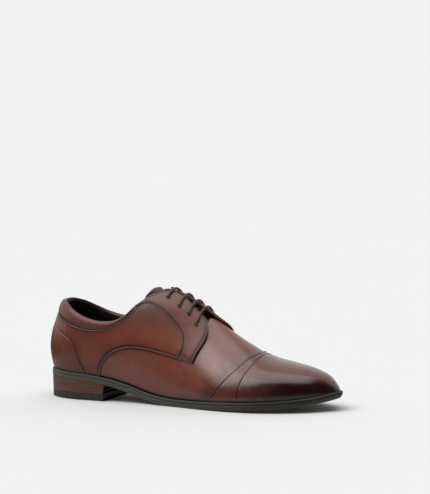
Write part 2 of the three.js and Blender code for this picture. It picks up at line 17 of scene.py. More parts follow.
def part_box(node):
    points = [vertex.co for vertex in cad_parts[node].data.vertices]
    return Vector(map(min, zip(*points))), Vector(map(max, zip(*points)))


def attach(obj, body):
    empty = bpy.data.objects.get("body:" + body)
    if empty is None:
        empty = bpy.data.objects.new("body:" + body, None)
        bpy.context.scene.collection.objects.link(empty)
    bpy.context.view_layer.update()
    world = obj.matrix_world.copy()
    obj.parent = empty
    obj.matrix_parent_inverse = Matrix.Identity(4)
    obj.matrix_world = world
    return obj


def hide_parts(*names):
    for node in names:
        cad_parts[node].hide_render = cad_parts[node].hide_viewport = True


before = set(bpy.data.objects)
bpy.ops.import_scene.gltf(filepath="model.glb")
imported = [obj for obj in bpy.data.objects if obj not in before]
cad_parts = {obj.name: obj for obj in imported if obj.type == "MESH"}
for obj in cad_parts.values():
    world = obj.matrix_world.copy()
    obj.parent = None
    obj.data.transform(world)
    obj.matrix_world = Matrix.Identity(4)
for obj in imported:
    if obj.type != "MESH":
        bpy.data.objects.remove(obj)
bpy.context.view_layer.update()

# ------------------------------------------------------------------ dimensions

SOLE_LENGTH = 300.0
UPPER_BACK = 3.0
UPPER_FRONT = 296.5
LEATHER = 1.2
SOLE_EDGE = 7.2
WELT = 2.6
TOP_PIECE = 6.8
LIFT_STEP = 3.7
BREAST_X = 68.0
BREAST_RADIUS = 72.0
BREAST_HALF_WIDTH = 33.0
LACE_RADIUS = 1.25
MEDIAL_FORWARD = 0.029
MEDIAL_EYELETS_FORWARD = 0.011
LATERAL, MEDIAL = -1, 1

# The sole's back edge and a nail on the centre line tie these millimetres to the frame's origin.
SHIFT = np.array([
    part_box("outsole")[0][0],
    (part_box("heel_nail_5")[0][1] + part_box("heel_nail_5")[1][1]) / 2,
    0.0,
])


def to_frame(points):
    """Millimetres from the back of the sole, as metres in the frame."""
    return np.asarray(points, float) / 1000 + SHIFT


# ------------------------------------------------------------------ curves


def through(points):
    """A smooth function through points (x, y), with each slope from its neighbours."""
    xs, ys = np.array(points, float).T
    step = np.diff(xs)
    slope = np.diff(ys) / step
    tangent = np.empty_like(ys)
    tangent[1:-1] = (slope[:-1] * step[1:] + slope[1:] * step[:-1]) / (step[:-1] + step[1:])
    tangent[0] = 2 * slope[0] - tangent[1]
    tangent[-1] = 2 * slope[-1] - tangent[-2]

    def value(x):
        x = np.asarray(x, float)
        i = np.clip(np.searchsorted(xs, x) - 1, 0, len(xs) - 2)
        t = (x - xs[i]) / step[i]
        start = t * (1 - t) ** 2 * step[i] * tangent[i]
        end = t * t * (t - 1) * step[i] * tangent[i + 1]
        return ys[i] + (ys[i + 1] - ys[i]) * t * t * (3 - 2 * t) + start + end

    return value


def along(values):
    """The same through eleven values at equal steps of s."""
    return through([(i / 10, value) for i, value in enumerate(values)])


def smooth(t):
    """A step from 0 at t = 0 to 1 at t = 1, with a soft start and end."""
    t = np.clip(t, 0, 1)
    return t * t * (3 - 2 * t)


def bell(x, width):
    """A soft peak of height 1 at x = 0."""
    return np.exp(-(x / width) ** 2)


def ramp(low, high, count):
    """Shares from low to high as a column, for spreading points between two places."""
    return np.linspace(low, high, count)[:, None]


def unit(vectors):
    """Vectors made 1 long."""
    return vectors / np.maximum(np.linalg.norm(vectors, axis=-1, keepdims=True), 1e-9)


def lengths(points):
    """The distance along a line of points, at each point."""
    return np.concatenate([[0], np.cumsum(np.linalg.norm(np.diff(points, axis=0), axis=1))])


def aside(tangent):
    """The directions a quarter turn from flat directions."""
    return unit(np.stack([-tangent[:, 1], tangent[:, 0]], -1))


def station_x(s, back, front):
    """The place along the shoe for a share s; stations crowd together at both ends."""
    return back + (front - back) * (1 - np.cos(np.pi * np.asarray(s, float))) / 2


sole_half_width = along([0, 19, 31.2, 33.2, 31.8, 36.5, 47.2, 48, 35, 17.3, 0])
centre_line = along([0, 0, -0.3, -0.8, -2.8, -4.5, -3.2, 1, 4, 5.8, 6])
sole_top = through([
    (0, 27.6), (30, 26.2), (60, 24.1), (75, 21.9), (86, 19.4), (97, 16.4), (108, 13), (119, 10.2),
    (130, 8.3), (142, 7.4), (155, 7.2), (180, 7.9), (200, 8.7), (220, 9.5), (240, 10.7), (256, 11.8),
    (272, 13.3), (287, 15.9), (300, 19.2),
])
feather_half_width = along([0, 16.4, 28.2, 30.2, 28.6, 33, 43.6, 44.4, 31.6, 14.8, 0])
side_bulge = along([0, 4.5, 8.5, 6.5, 9, 5, 2.5, 2.5, 1.8, 1, 0])
bulge_height = along([0.4, 0.4, 0.4, 0.4, 0.4, 0.32, 0.36, 0.58, 0.62, 0.62, 0.62])
crown_width = along([0.75, 0.78, 0.8, 0.88, 0.75, 0.4, 0.44, 0.58, 0.6, 0.6, 0.6])
ridge = through([
    (3, 122), (31, 122), (63.5, 120), (104, 111.5), (120, 108.5), (136, 104.3), (150, 98.3), (165, 89.2),
    (180, 78.6), (195, 68), (210, 58.4), (222, 50.9), (236, 45.9), (250, 42.9), (262, 40.3),
    (272, 37.7), (280, 34.8), (286, 31.8), (291, 29), (294.5, 27.3), (296.5, 26.3),
])
heel_profile = through([
    (-5, 1), (0, -0.6), (11, -3.4), (21, -4.4), (31, -3.4), (38, -1.8), (48, 1.8), (58, 5.4),
    (68, 8.8), (80, 12), (100, 16),
])
toe_profile = through([(-1, 0), (0, 0), (2, -0.3), (5, -2), (7, -3.5), (9, -4.4)])


# ------------------------------------------------------------------ the upper's surface


def surface(s, v):
    """Points on the outside of the vamp."""
    s, v = np.broadcast_arrays(np.asarray(s, float), np.asarray(v, float))
    x = station_x(s, UPPER_BACK, UPPER_FRONT)
    feather = sole_top(x)
    height = np.maximum(ridge(x) - feather, 0.5)
    half = feather_half_width(s)
    t = 1 - np.abs(v)
    b0, b1, b2, b3 = (1 - t) ** 3, 3 * (1 - t) ** 2 * t, 3 * (1 - t) * t * t, t ** 3
    y = b0 * half + b1 * (half + side_bulge(s)) + b2 * crown_width(s) * half
    rise = height * (b1 * bulge_height(s) + b2 + b3)
    heel_shift = heel_profile(rise) * (1 - smooth(s / 0.38))
    toe_shift = toe_profile(rise) * smooth((s - 0.85) / 0.15)
    side = np.where(v < 0, -1, 1)
    return np.stack([x + heel_shift + toe_shift, centre_line(s) + side * y, feather + rise], -1)


def normal(s, v):
    """The surface's outward directions."""
    s, v = np.broadcast_arrays(np.asarray(s, float), np.asarray(v, float))
    step = 1e-4
    inner = np.clip(s, 0.002, 0.998)
    along_shoe = surface(inner + step, v) - surface(inner - step, v)
    round_shoe = surface(inner, np.minimum(v + step, 1)) - surface(inner, np.maximum(v - step, -1))
    out = np.cross(along_shoe, round_shoe)
    out[..., 1] = np.where((s <= 0) | (s >= 1), 0, out[..., 1])
    return unit(out)


def skin(s, v, distance):
    """Points at a distance out from the surface, kept on or above the sole."""
    s, v, distance = np.broadcast_arrays(
        np.asarray(s, float), np.asarray(v, float), np.asarray(distance, float))
    place = np.where((s <= 0) | (s >= 1), np.abs(v), v)
    points = surface(s, place) + normal(s, place) * distance[..., None]
    floor = sole_top(np.clip(points[..., 0], 0, SOLE_LENGTH))
    points[..., 2] = np.where(np.abs(v) >= 1, floor, np.maximum(points[..., 2], floor))
    return points


def forward(s, v, side):
    """How much further forward the medial half of the lacing sits."""
    if side == LATERAL:
        return np.zeros_like(np.asarray(s, float))
    lacing = smooth((s - 0.39) / 0.05) * (1 - smooth((s - 0.56) / 0.04))
    return MEDIAL_FORWARD * lacing * (1 - smooth((v - 0.66) / 0.2))


# ------------------------------------------------------------------ seams, as places (s, |v|)

TOPLINE = [
    (0, 0.452), (0.08, 0.448), (0.136, 0.47), (0.203, 0.522), (0.248, 0.558), (0.298, 0.572),
    (0.339, 0.536), (0.363, 0.469), (0.383, 0.367), (0.404, 0.275),
]
COLLAR_SEAM = [
    (0, 0.555), (0.05, 0.562), (0.096, 0.579), (0.16, 0.605), (0.217, 0.637), (0.27, 0.65),
    (0.314, 0.62), (0.353, 0.536), (0.385, 0.394),
]
HEEL_SEAM = [(0.099, 0.582), (0.118, 0.655), (0.173, 0.709), (0.223, 0.779), (0.242, 0.897), (0.257, 1)]
QUARTER_EDGE = [
    (0.3, 1), (0.304, 0.926), (0.32, 0.835), (0.357, 0.743), (0.406, 0.684), (0.453, 0.661),
    (0.499, 0.654), (0.53, 0.648),
]
FACING_FRONT = [(0.529, 0.65), (0.537, 0.558), (0.549, 0.415), (0.551, 0.345), (0.548, 0.27)]
FACING_REAR = [
    (0.393, 0.35), (0.41, 0.308), (0.429, 0.312), (0.454, 0.352), (0.479, 0.41), (0.495, 0.46),
    (0.5, 0.541), (0.492, 0.637),
]
LACING_EDGE = {
    LATERAL: [
        (0.404, 0.275), (0.423, 0.165), (0.441, 0.085), (0.468, 0.035), (0.486, 0.065), (0.513, 0.145),
        (0.538, 0.19), (0.548, 0.27),
    ],
    MEDIAL: [
        (0.404, 0.275), (0.41, 0.16), (0.425, 0.07), (0.446, 0.01), (0.476, -0.022), (0.506, -0.02),
        (0.531, 0.01), (0.545, 0.1), (0.548, 0.27),
    ],
}
VAMP_EDGE = [
    (0.285, 1), (0.289, 0.92), (0.304, 0.81), (0.342, 0.7), (0.4, 0.63), (0.45, 0.605), (0.497, 0.59),
    (0.52, 0.5), (0.538, 0.4), (0.543, 0.25), (0.545, 0.1),
]
CAP_EDGE = [
    (0.571, 1), (0.573, 0.975), (0.592, 0.832), (0.612, 0.686), (0.629, 0.544), (0.643, 0.36),
    (0.654, 0.146), (0.658, 0),
]
CAP_STITCHING = [(0.643, 0.97), (0.647, 0.8), (0.652, 0.65), (0.661, 0.438), (0.668, 0.162), (0.669, 0)]
EYELETS = [(0.524, 0.328), (0.504, 0.267), (0.481, 0.236), (0.453, 0.185)]

# Millimetres on the flat pattern for a unit of s and of v.
UNITS = np.array([400.0, 100.0])


def spline(places, samples):
    """Points along a smooth curve through places, evenly spaced."""
    places = np.array(places, float)
    t = lengths(places * UNITS)
    at = np.linspace(0, t[-1], samples)
    return np.stack([through(list(zip(t, places[:, k])))(at) for k in (0, 1)], -1)


def seam(places, side, samples=60, across=0.0):
    """A seam on one side as signed places (s, v), moved sideways by about across millimetres."""
    line = spline(places, samples)
    if across:
        line += aside(np.gradient(line * UNITS, axis=0)) * across / UNITS
    line[:, 0] += forward(line[:, 0], line[:, 1], side)
    line[:, 1] *= side
    return line


# ------------------------------------------------------------------ flat patterns


# Insets of the rows of points along a pattern's edge, and of those beside a line that crosses it.
EDGE_ROWS = (0.22, 0.6, 1.1, 1.7, 2.3, 3.1)
LINE_ROWS = (-2.3, -1.2, -0.6, 0, 0.6, 1.2, 2.3)
LINE_STEP = 1.3
# How close to the edge a crossing line's points may come, and the plain grid's.
LINE_MARGIN, GRID_MARGIN = 2.6, 4.2
CHUNK = 2000


def distance_to(points, line, closed=True):
    """Each point's distance from a polyline, in pattern units."""
    start = line
    end = np.roll(line, -1, axis=0)
    if not closed:
        start, end = line[:-1], line[1:]
    along_edge = end - start
    length2 = np.maximum((along_edge ** 2).sum(1), 1e-12)
    best = np.empty(len(points))
    for first in range(0, len(points), CHUNK):
        p = points[first:first + CHUNK, None, :]
        t = np.clip(((p - start) * along_edge).sum(2) / length2, 0, 1)
        gap = np.linalg.norm(p - (start + t[..., None] * along_edge), axis=2)
        best[first:first + CHUNK] = gap.min(1)
    return best


def nearest(points, lines, closed=True):
    """Each point's distance from the nearest of some lines."""
    return np.min([distance_to(points, line, closed) for line in lines], axis=0)


def inside(points, line):
    """Which points a closed outline surrounds."""
    x, y = points[:, 0, None], points[:, 1, None]
    x0, y0 = line.T
    x1, y1 = np.roll(line, -1, axis=0).T
    crosses = (y0 > y) != (y1 > y)
    with np.errstate(divide="ignore", invalid="ignore"):
        at = x0 + (y - y0) * (x1 - x0) / (y1 - y0)
    return (crosses & (x < at)).sum(1) % 2 == 1


def resample(line, step):
    """A closed outline with points a step apart; its sharp corners stay."""
    kept = []
    count = len(line)
    for i in range(count):
        a, b = line[i], line[(i + 1) % count]
        pieces = max(int(round(np.linalg.norm(b - a) / step)), 1)
        kept.extend(a + (b - a) * k / pieces for k in range(pieces))
    return np.array(kept)


def beside(lines):
    """Points in rows on both sides of flat lines."""
    rows = []
    for line in lines:
        length = lengths(line)
        steps = np.arange(0, length[-1], LINE_STEP)
        middle = np.stack([np.interp(steps, length, column) for column in line.T], -1)
        across = aside(np.gradient(middle, axis=0))
        rows.extend(middle + across * inset for inset in LINE_ROWS)
    return np.concatenate(rows)


def pattern(outline, holes=(), spacing=3.0, edge_step=1.2, lines=()):
    """Fills an outline of places with triangles, finer along its edge and along lines that cross it.

    Returns places, triangles and distance from the edge.
    """
    loops = [resample(np.asarray(loop) * UNITS, edge_step) for loop in (outline, *holes)]
    low, high = loops[0].min(0), loops[0].max(0)
    columns = np.arange(low[0], high[0], spacing)
    rows = np.arange(low[1], high[1], spacing * 0.866)
    grid = np.array([(x + (j % 2) * spacing / 2, y) for j, y in enumerate(rows) for x in columns])
    within = []
    for inset in EDGE_ROWS:
        for loop in loops:
            across = aside(np.roll(loop, -1, axis=0) - np.roll(loop, 1, axis=0))
            for sign in (-1, 1):
                row = (loop + across * inset * sign)[:: 1 if inset < 2 else 2]
                within.append(row[nearest(row, loops) > inset * 0.93])
    gap = nearest(grid, loops)
    if lines:
        lines = [line * UNITS for line in lines]
        fine = beside(lines)
        within.append(fine[nearest(fine, loops) > LINE_MARGIN])
        gap = np.minimum(gap, nearest(grid, lines, closed=False))
    free = np.concatenate([*within, grid[gap > GRID_MARGIN]])
    keep = inside(free, loops[0])
    for loop in loops[1:]:
        keep &= ~inside(free, loop)
    free = free[keep]
    points, edges = [], []
    for loop in loops:
        first = len(points)
        points.extend(loop)
        edges.extend((first + i, first + (i + 1) % len(loop)) for i in range(len(loop)))
    points = np.concatenate([np.array(points), free])
    made = delaunay_2d_cdt([Vector(p) for p in points], edges, [], 2, 1e-4)
    flat = np.array([tuple(p) for p in made[0]])
    triangles = np.array([f for f in made[2] if len(f) == 3])
    return flat / UNITS, triangles, nearest(flat, loops)


# ------------------------------------------------------------------ meshes


def make(name, points, faces, material, body="shoe", nodes=(), values=None, uv=None):
    """One piece from points in millimetres, with per-point values for its material."""
    mesh = bpy.data.meshes.new(name)
    mesh.from_pydata(to_frame(points).tolist(), [], [tuple(int(i) for i in face) for face in faces])
    mesh.validate()
    for key, value in (values or {}).items():
        mesh.attributes.new(key, "FLOAT", "POINT").data.foreach_set("value", np.asarray(value, np.float32))
    if uv is not None:
        layer = mesh.uv_layers.new(name="UVMap")
        index = np.empty(len(mesh.loops), int)
        mesh.loops.foreach_get("vertex_index", index)
        layer.data.foreach_set("uv", np.asarray(uv, np.float32)[index].ravel())
    mesh.shade_smooth()
    mesh.materials.append(material)
    piece = bpy.data.objects.new(name, mesh)
    bpy.context.scene.collection.objects.link(piece)
    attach(piece, body)
    if nodes:
        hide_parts(*nodes)
    return piece


def grid_faces(rows, columns, close_rows=False, close_columns=False):
    """Quads over a grid of points stored row by row."""
    faces = []
    for i in range(rows if close_rows else rows - 1):
        for j in range(columns if close_columns else columns - 1):
            a, b = i * columns + j, i * columns + (j + 1) % columns
            c, d = ((i + 1) % rows) * columns + (j + 1) % columns, ((i + 1) % rows) * columns + j
            faces.append((a, b, c, d))
    return faces


def end_caps(rows, columns):
    """Faces that close the first and the last row of a grid."""
    return [tuple(range(columns))[::-1], tuple((rows - 1) * columns + i for i in range(columns))]


def edge_of(triangles):
    """The directed edges that only one triangle uses."""
    pairs = np.concatenate([triangles[:, [0, 1]], triangles[:, [1, 2]], triangles[:, [2, 0]]])
    used = {tuple(pair) for pair in pairs}
    return [pair for pair in used if (pair[1], pair[0]) not in used]


EDGE_RADIUS = 0.7


def rounded(gap, radius):
    """Height of a rounded edge, 0 at the edge and 1 from a radius in."""
    t = np.clip(gap / radius, 0, 1)
    return np.sqrt(1 - (1 - t) ** 2)


def unfold(place):
    """Places over the heel chart: u < 0 is the lateral side and u > 0 the medial one."""
    return np.abs(place[:, 0]), np.where(place[:, 0] < 0, -1, 1) * place[:, 1]


def weld(piece):
    """Joins points that lie in one place."""
    mesh = bmesh.new()
    mesh.from_mesh(piece.data)
    bmesh.ops.remove_doubles(mesh, verts=mesh.verts, dist=2e-6)
    bmesh.ops.recalc_face_normals(mesh, faces=mesh.faces)
    mesh.to_mesh(piece.data)
    mesh.free()
    piece.data.shade_smooth()


def shell(name, filled, low, high, material, values, chart="front", **options):
    """A layer of leather between two depths, with rounded edges."""
    place, triangles, gap = filled
    s, v = unfold(place) if chart == "heel" else (place[:, 0], place[:, 1])
    low = low(s, v) if callable(low) else np.full(len(s), float(low))
    high = high(s, v, gap) if callable(high) else np.full(len(s), float(high))
    top = low + (high - low) * (0.35 + 0.65 * rounded(gap, EDGE_RADIUS))
    outer = skin(s, v, top)
    inner = skin(s, v, low)
    count = len(s)
    a, b, c = outer[triangles[:, 0]], outer[triangles[:, 1]], outer[triangles[:, 2]]
    facing_out = (np.cross(b - a, c - a) * normal(s, v)[triangles[:, 0]]).sum(1) > 0
    front = np.where(facing_out.mean() > 0.5, 1, -1)
    over = triangles[:, ::front]
    faces = [*over.tolist(), *(over[:, ::-1] + count).tolist()]
    faces += [(i, i + count, j + count, j) for i, j in edge_of(over)]
    both = {key: np.tile(value, 2) for key, value in values(s, v, gap).items()}
    return make(name, np.concatenate([outer, inner]), faces, material, values=both, **options)


# ------------------------------------------------------------------ materials


class Nodes:
    """The nodes of a material or of the world."""

    def __init__(self, owner):
        owner.use_nodes = True
        self.tree = owner.node_tree

    def node(self, kind, inputs=None, **settings):
        made = self.tree.nodes.new(kind)
        for key, value in settings.items():
            setattr(made, key, value)
        for key, value in (inputs or {}).items():
            self.feed(made.inputs[key], value)
        return made

    def feed(self, socket, value):
        if isinstance(value, bpy.types.NodeSocket):
            self.tree.links.new(value, socket)
        else:
            socket.default_value = value

    def math(self, operation, a, b=0.0):
        return self.node("ShaderNodeMath", {0: a, 1: b}, operation=operation).outputs[0]


class Look(Nodes):
    """A procedural material: a principled shader and the nodes that vary it."""

    def __init__(self, name, slot, **constants):
        self.material = bpy.data.materials.new(name)
        super().__init__(self.material)
        self.shader = self.tree.nodes["Principled BSDF"]
        self.place = self.node("ShaderNodeTexCoord").outputs["Object"]
        for socket, value in constants.items():
            self.shader.inputs[socket.replace("_", " ")].default_value = value

    def noise(self, scale, detail=3, vector=None, distortion=0.0):
        inputs = {"Vector": vector or self.place, "Scale": scale, "Detail": detail, "Distortion": distortion}
        return self.node("ShaderNodeTexNoise", inputs).outputs["Fac"]

    def cells(self, scale):
        return self.node("ShaderNodeTexVoronoi", {"Vector": self.place, "Scale": scale}).outputs["Distance"]

    def spread(self, scale, low, high, detail=3):
        """Noise that runs from low to high."""
        return self.remap(self.noise(scale, detail), 0.3, 0.7, low, high)

    def along_x(self):
        return self.node("ShaderNodeSeparateXYZ", {"Vector": self.place}).outputs["X"]

    def stretched(self, x, y, z):
        return self.node("ShaderNodeMapping", {"Vector": self.place, "Scale": (x, y, z)}).outputs["Vector"]

    def value(self, name):
        return self.node("ShaderNodeAttribute", attribute_name=name).outputs["Fac"]

    def remap(self, value, low, high, to_low, to_high):
        inputs = {"Value": value, "From Min": low, "From Max": high, "To Min": to_low, "To Max": to_high}
        return self.node("ShaderNodeMapRange", inputs).outputs["Result"]

    def mix(self, factor, a, b):
        made = self.node("ShaderNodeMix", data_type="RGBA")
        self.feed(made.inputs["Factor"], factor)
        self.feed(made.inputs[6], a)
        self.feed(made.inputs[7], b)
        return made.outputs[2]

    def bump(self, height, distance, strength, under=None):
        made = self.node("ShaderNodeBump", {"Height": height, "Distance": distance, "Strength": strength})
        if under:
            self.feed(made.inputs["Normal"], under)
        return made.outputs["Normal"]

    def finish(self, colour, roughness, surface_normal=None):
        self.feed(self.shader.inputs["Base Color"], colour)
        self.feed(self.shader.inputs["Roughness"], roughness)
        if surface_normal:
            self.feed(self.shader.inputs["Normal"], surface_normal)
        return self.material


def srgb(red, green, blue):
    """A linear colour from everyday 0-255 values."""
    channels = [c / 255 for c in (red, green, blue)]
    return (*[c / 12.92 if c <= 0.04045 else ((c + 0.055) / 1.055) ** 2.4 for c in channels], 1.0)


# The pale colour of edges: partly wear, partly a painted highlight where a raised edge catches the light.
WORN_AND_LIT_EDGE = srgb(168, 116, 98)
# Near black: painted shade inside the shoe and in the crease at the welt.
PAINTED_SHADE = srgb(27, 20, 17)


def leather(name, slot, light, dark, gloss, specular=0.55, coat=0.25):
    """Polished calf: fine pores, unevenly dyed, darker where a per-point value is high, which holds darkening along
    seams and low down and painted shade in grooves, creases and beside lapped edges; paler at edges, partly from wear
    and partly as a painted highlight; near black where another value paints shade.
    """
    look = Look(name, slot, Coat_Weight=coat, Coat_Roughness=0.16, Specular_IOR_Level=specular)
    clouds = look.remap(look.noise(20, 3, distortion=0.4), 0.3, 0.72, -0.1, 0.14)
    mottle = look.spread(260, -0.07, 0.07)
    # The per-point value holds darkening along seams and low down, and painted shade in grooves, creases and beside
    # lapped edges.
    shade = look.math("ADD", look.math("ADD", look.value("burnish"), clouds), mottle)
    shade = look.remap(shade, 0, 1, 0, 1)
    colour = look.mix(shade, light, dark)
    # Paler near edges: partly wear, partly a painted highlight on the raised edge.
    worn_and_lit = look.remap(look.value("edge"), 0.15, 1.0, 0.5, 0)
    colour = look.mix(worn_and_lit, colour, WORN_AND_LIT_EDGE)
    # Painted shade: near black in the crease at the welt and on the inner side of the collar roll.
    colour = look.mix(look.value("inside"), colour, PAINTED_SHADE)
    pores = look.remap(look.cells(1500), 0.0, 0.5, 0, 1)
    grain = look.bump(pores, 0.00004, 0.35)
    creases = look.bump(look.noise(420, 3, distortion=0.4), 0.00012, 0.35, grain)
    soft = look.bump(look.noise(60, 2), 0.0012, 0.22, creases)
    return look.finish(colour, look.spread(140, gloss - 0.05, gloss + 0.09, detail=4), soft)


upper_leather = leather("polished_leather", "upper_leather", srgb(135, 68, 44), srgb(52, 22, 16), 0.33)
vamp_leather = leather("vamp_leather", "upper_leather", srgb(133, 67, 44), srgb(50, 21, 15), 0.33, 0.7, 0.6)
cap_leather = leather("cap_leather", "burnished_leather", srgb(112, 58, 44), srgb(38, 11, 9), 0.2, 0.65, 0.4)
collar_leather = leather("collar_leather", "burnished_leather", srgb(128, 68, 52), srgb(44, 22, 17), 0.42, 0.4)


def lining_shade_look():
    look = Look("lining_leather", "lining", Specular_IOR_Level=0.35)
    # Painted shade: the lining's colours are kept near black for the shade inside the shoe.
    colour = look.mix(look.noise(40, 4), srgb(46, 34, 28), PAINTED_SHADE)
    grain = look.bump(look.cells(1100), 0.00008, 0.4)
    return look.finish(colour, look.spread(200, 0.6, 0.8), grain)


def thread_look():
    look = Look("thread", "burnished_leather", Sheen_Weight=0.05, Specular_IOR_Level=0.25)
    twist = look.node("ShaderNodeTexWave", {"Vector": look.place, "Scale": 1400.0, "Distortion": 2.0})
    colour = look.mix(look.noise(300), srgb(44, 28, 23), srgb(22, 13, 11))
    return look.finish(colour, look.spread(500, 0.55, 0.7),
                       look.bump(twist.outputs["Fac"], 0.0001, 0.5))


def lace_look():
    """A round waxed braid: two sets of strands that cross, along the lace's own length."""
    look = Look("waxed_lace", "lace", Sheen_Weight=0.25, Sheen_Roughness=0.4)
    uv = look.node("ShaderNodeTexCoord").outputs["UV"]
    parts = look.node("ShaderNodeSeparateXYZ", {"Vector": uv}).outputs
    strands = []
    for strands_round in (6.0, -6.0):
        turn = look.math("ADD", look.math("MULTIPLY", parts["X"], strands_round), parts["Y"])
        strands.append(look.math("SINE", look.math("MULTIPLY", turn, 2 * math.pi)))
    braid = look.math("MAXIMUM", *strands)
    # Painted shade: lighter on the crests of the strands and darker in the grooves between them.
    colour = look.mix(look.remap(braid, -0.3, 1, 0, 1), srgb(44, 32, 28), srgb(112, 90, 80))
    colour = look.mix(look.math("MULTIPLY", look.noise(350), 0.4), colour, srgb(60, 46, 40))
    return look.finish(colour, look.spread(400, 0.45, 0.6), look.bump(braid, 0.00018, 0.7))


def aglet_look():
    look = Look("aglet_plastic", "aglet", Coat_Weight=0.3)
    colour = look.mix(look.noise(500), srgb(58, 40, 32), srgb(26, 18, 15))
    return look.finish(colour, look.spread(300, 0.25, 0.4), look.bump(look.noise(900), 0.00004, 0.4))


def sole_look():
    """Waxed sole edge: nearly black, with fine lines along the layers."""
    look = Look("waxed_edge", "sole_edge", Specular_IOR_Level=0.5, Coat_Weight=0.12, Coat_Roughness=0.35)
    layers = look.noise(8, 4, look.stretched(6, 6, 260))
    colour = look.mix(look.remap(layers, 0.35, 0.7, 0, 1), srgb(88, 84, 76), srgb(55, 52, 47))
    colour = look.mix(look.math("MULTIPLY", look.noise(90, 4), 0.5), colour, srgb(66, 60, 50))
    colour = look.mix(look.remap(look.along_x(), -0.06, 0.1, 0, 0.72), colour, srgb(20, 18, 15))
    # Painted shade: where the welt's groove is marked, the edge goes near black.
    colour = look.mix(look.value("burnish"), colour, srgb(14, 12, 11))
    bumps = look.bump(layers, 0.00018, 0.5, look.bump(look.noise(700, 3), 0.00007, 0.5))
    return look.finish(colour, look.spread(120, 0.42, 0.6), bumps)


def stack_look():
    """Stacked heel leather: thin layers of fibre, stained red-brown and darker to the back."""
    look = Look("stacked_heel", "stacked_leather", Specular_IOR_Level=0.45, Coat_Weight=0.1, Coat_Roughness=0.3)
    layers = look.noise(10, 5, look.stretched(5, 5, 190))
    fine = look.noise(9, 4, look.stretched(14, 14, 620))
    back = look.remap(look.along_x(), -0.150, -0.098, 1, 0.1)
    colour = look.mix(look.remap(layers, 0.35, 0.68, 0, 1), srgb(114, 66, 51), srgb(65, 36, 29))
    colour = look.mix(look.math("MULTIPLY", back, 0.75), colour, srgb(70, 58, 52))
    bumps = look.bump(fine, 0.00016, 0.5, look.bump(layers, 0.0003, 0.4))
    return look.finish(colour, look.spread(100, 0.4, 0.6), bumps)


def rubber_look():
    look = Look("heel_rubber", "rubber", Specular_IOR_Level=0.4)
    colour = look.mix(look.noise(120, 4), srgb(56, 55, 52), srgb(42, 41, 39))
    bumps = look.bump(look.noise(1300, 3), 0.00008, 0.6, look.bump(look.noise(50), 0.0003, 0.3))
    return look.finish(colour, look.spread(80, 0.6, 0.78), bumps)


def tread_look():
    """The outsole's underside: buffed leather, scuffed along the forefoot."""
    look = Look("sole_bottom", "sole_edge", Specular_IOR_Level=0.4)
    scuffs = look.noise(30, 6, look.stretched(1, 5, 1), 0.8)
    colour = look.mix(look.remap(scuffs, 0.4, 0.66, 0, 1), srgb(62, 56, 48), srgb(112, 98, 80))
    bumps = look.bump(look.noise(900, 4), 0.0001, 0.5)
    return look.finish(colour, look.remap(scuffs, 0.3, 0.7, 0.45, 0.8), bumps)


def fibre_look(name, slot, light, dark, scale, depth):
    """Board, cork and foam: a coarse mottle and an open surface."""
    look = Look(name, slot, Specular_IOR_Level=0.2)
    colour = look.mix(look.remap(look.cells(scale), 0, 0.7, 0, 1), light, dark)
    bumps = look.bump(look.noise(scale * 1.6, 4), depth, 0.6)
    return look.finish(colour, look.remap(look.noise(scale), 0.3, 0.7, 0.8, 0.95), bumps)


def steel_look():
    look = Look("shank_steel", "steel", Metallic=1.0)
    brushed = look.noise(60, 3, look.stretched(1, 30, 1))
    colour = look.mix(brushed, srgb(170, 172, 176), srgb(120, 122, 126))
    return look.finish(colour, look.remap(brushed, 0.3, 0.7, 0.28, 0.45), look.bump(brushed, 0.00004, 0.4))


lining = lining_shade_look()
thread = thread_look()
waxed_lace = lace_look()
aglet_plastic = aglet_look()
waxed_edge = sole_look()
stacked_heel = stack_look()
heel_rubber = rubber_look()
sole_bottom = tread_look()
board = fibre_look("insole_board_fibre", "board", srgb(150, 128, 98), srgb(122, 102, 76), 700, 0.0001)
cork = fibre_look("cork_filler", "cork", srgb(168, 128, 84), srgb(96, 66, 40), 380, 0.0004)
foam = fibre_look("foam_padding", "foam", srgb(192, 186, 172), srgb(160, 152, 138), 900, 0.0002)
steel = steel_look()

for node, material in {
    "shank": steel, "bottom_filler": cork, "insole_board": board, "heel_pad": foam, "toe_puff": board,
    "heel_counter": board, **{f"heel_nail_{i}": steel for i in range(1, 6)},
}.items():
    for material_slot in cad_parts[node].material_slots:
        material_slot.link = "OBJECT"
        material_slot.material = material


# ------------------------------------------------------------------ the upper's leather

# How far a row of stitches lies from the edge, and how deep it pulls the leather in.
ROW = 1.7
BEND = 0.12
# Heights over the surface: the underside and top of a layer on the vamp, and of one laid over that.
OVER_VAMP = 0.02
QUARTER_THICK, FOXING_TOP = 1.5, 1.4
FACING_LOW, FACING_THICK, FACING_DROP = 1.52, 1.38, 0.8
CAP_LOW, CAP_TOP = -0.5, 0.7
EYELET_RADIUS = 1.55
# A distance from any edge that leaves the leather's colour as it is.
FAR = 9.0


def away_from(lines, s, v):
    """Millimetres from the nearest of some seams, or far where there are none."""
    if not lines:
        return np.full(len(s), FAR)
    return nearest(np.stack([s, v], -1) * UNITS, [line * UNITS for line in lines], closed=False)


def low_down(v, dark):
    """Darker towards the welt."""
    return smooth((np.abs(v) - 0.62) / 0.38) * dark


def crease(s, v):
    """Painted shade: the black line where the leather meets the welt."""
    s, v = np.broadcast_arrays(s, v)
    rise = surface(s, v)[..., 2] - sole_top(station_x(s, UPPER_BACK, UPPER_FRONT))
    return smooth((2.3 - rise) / 0.8)


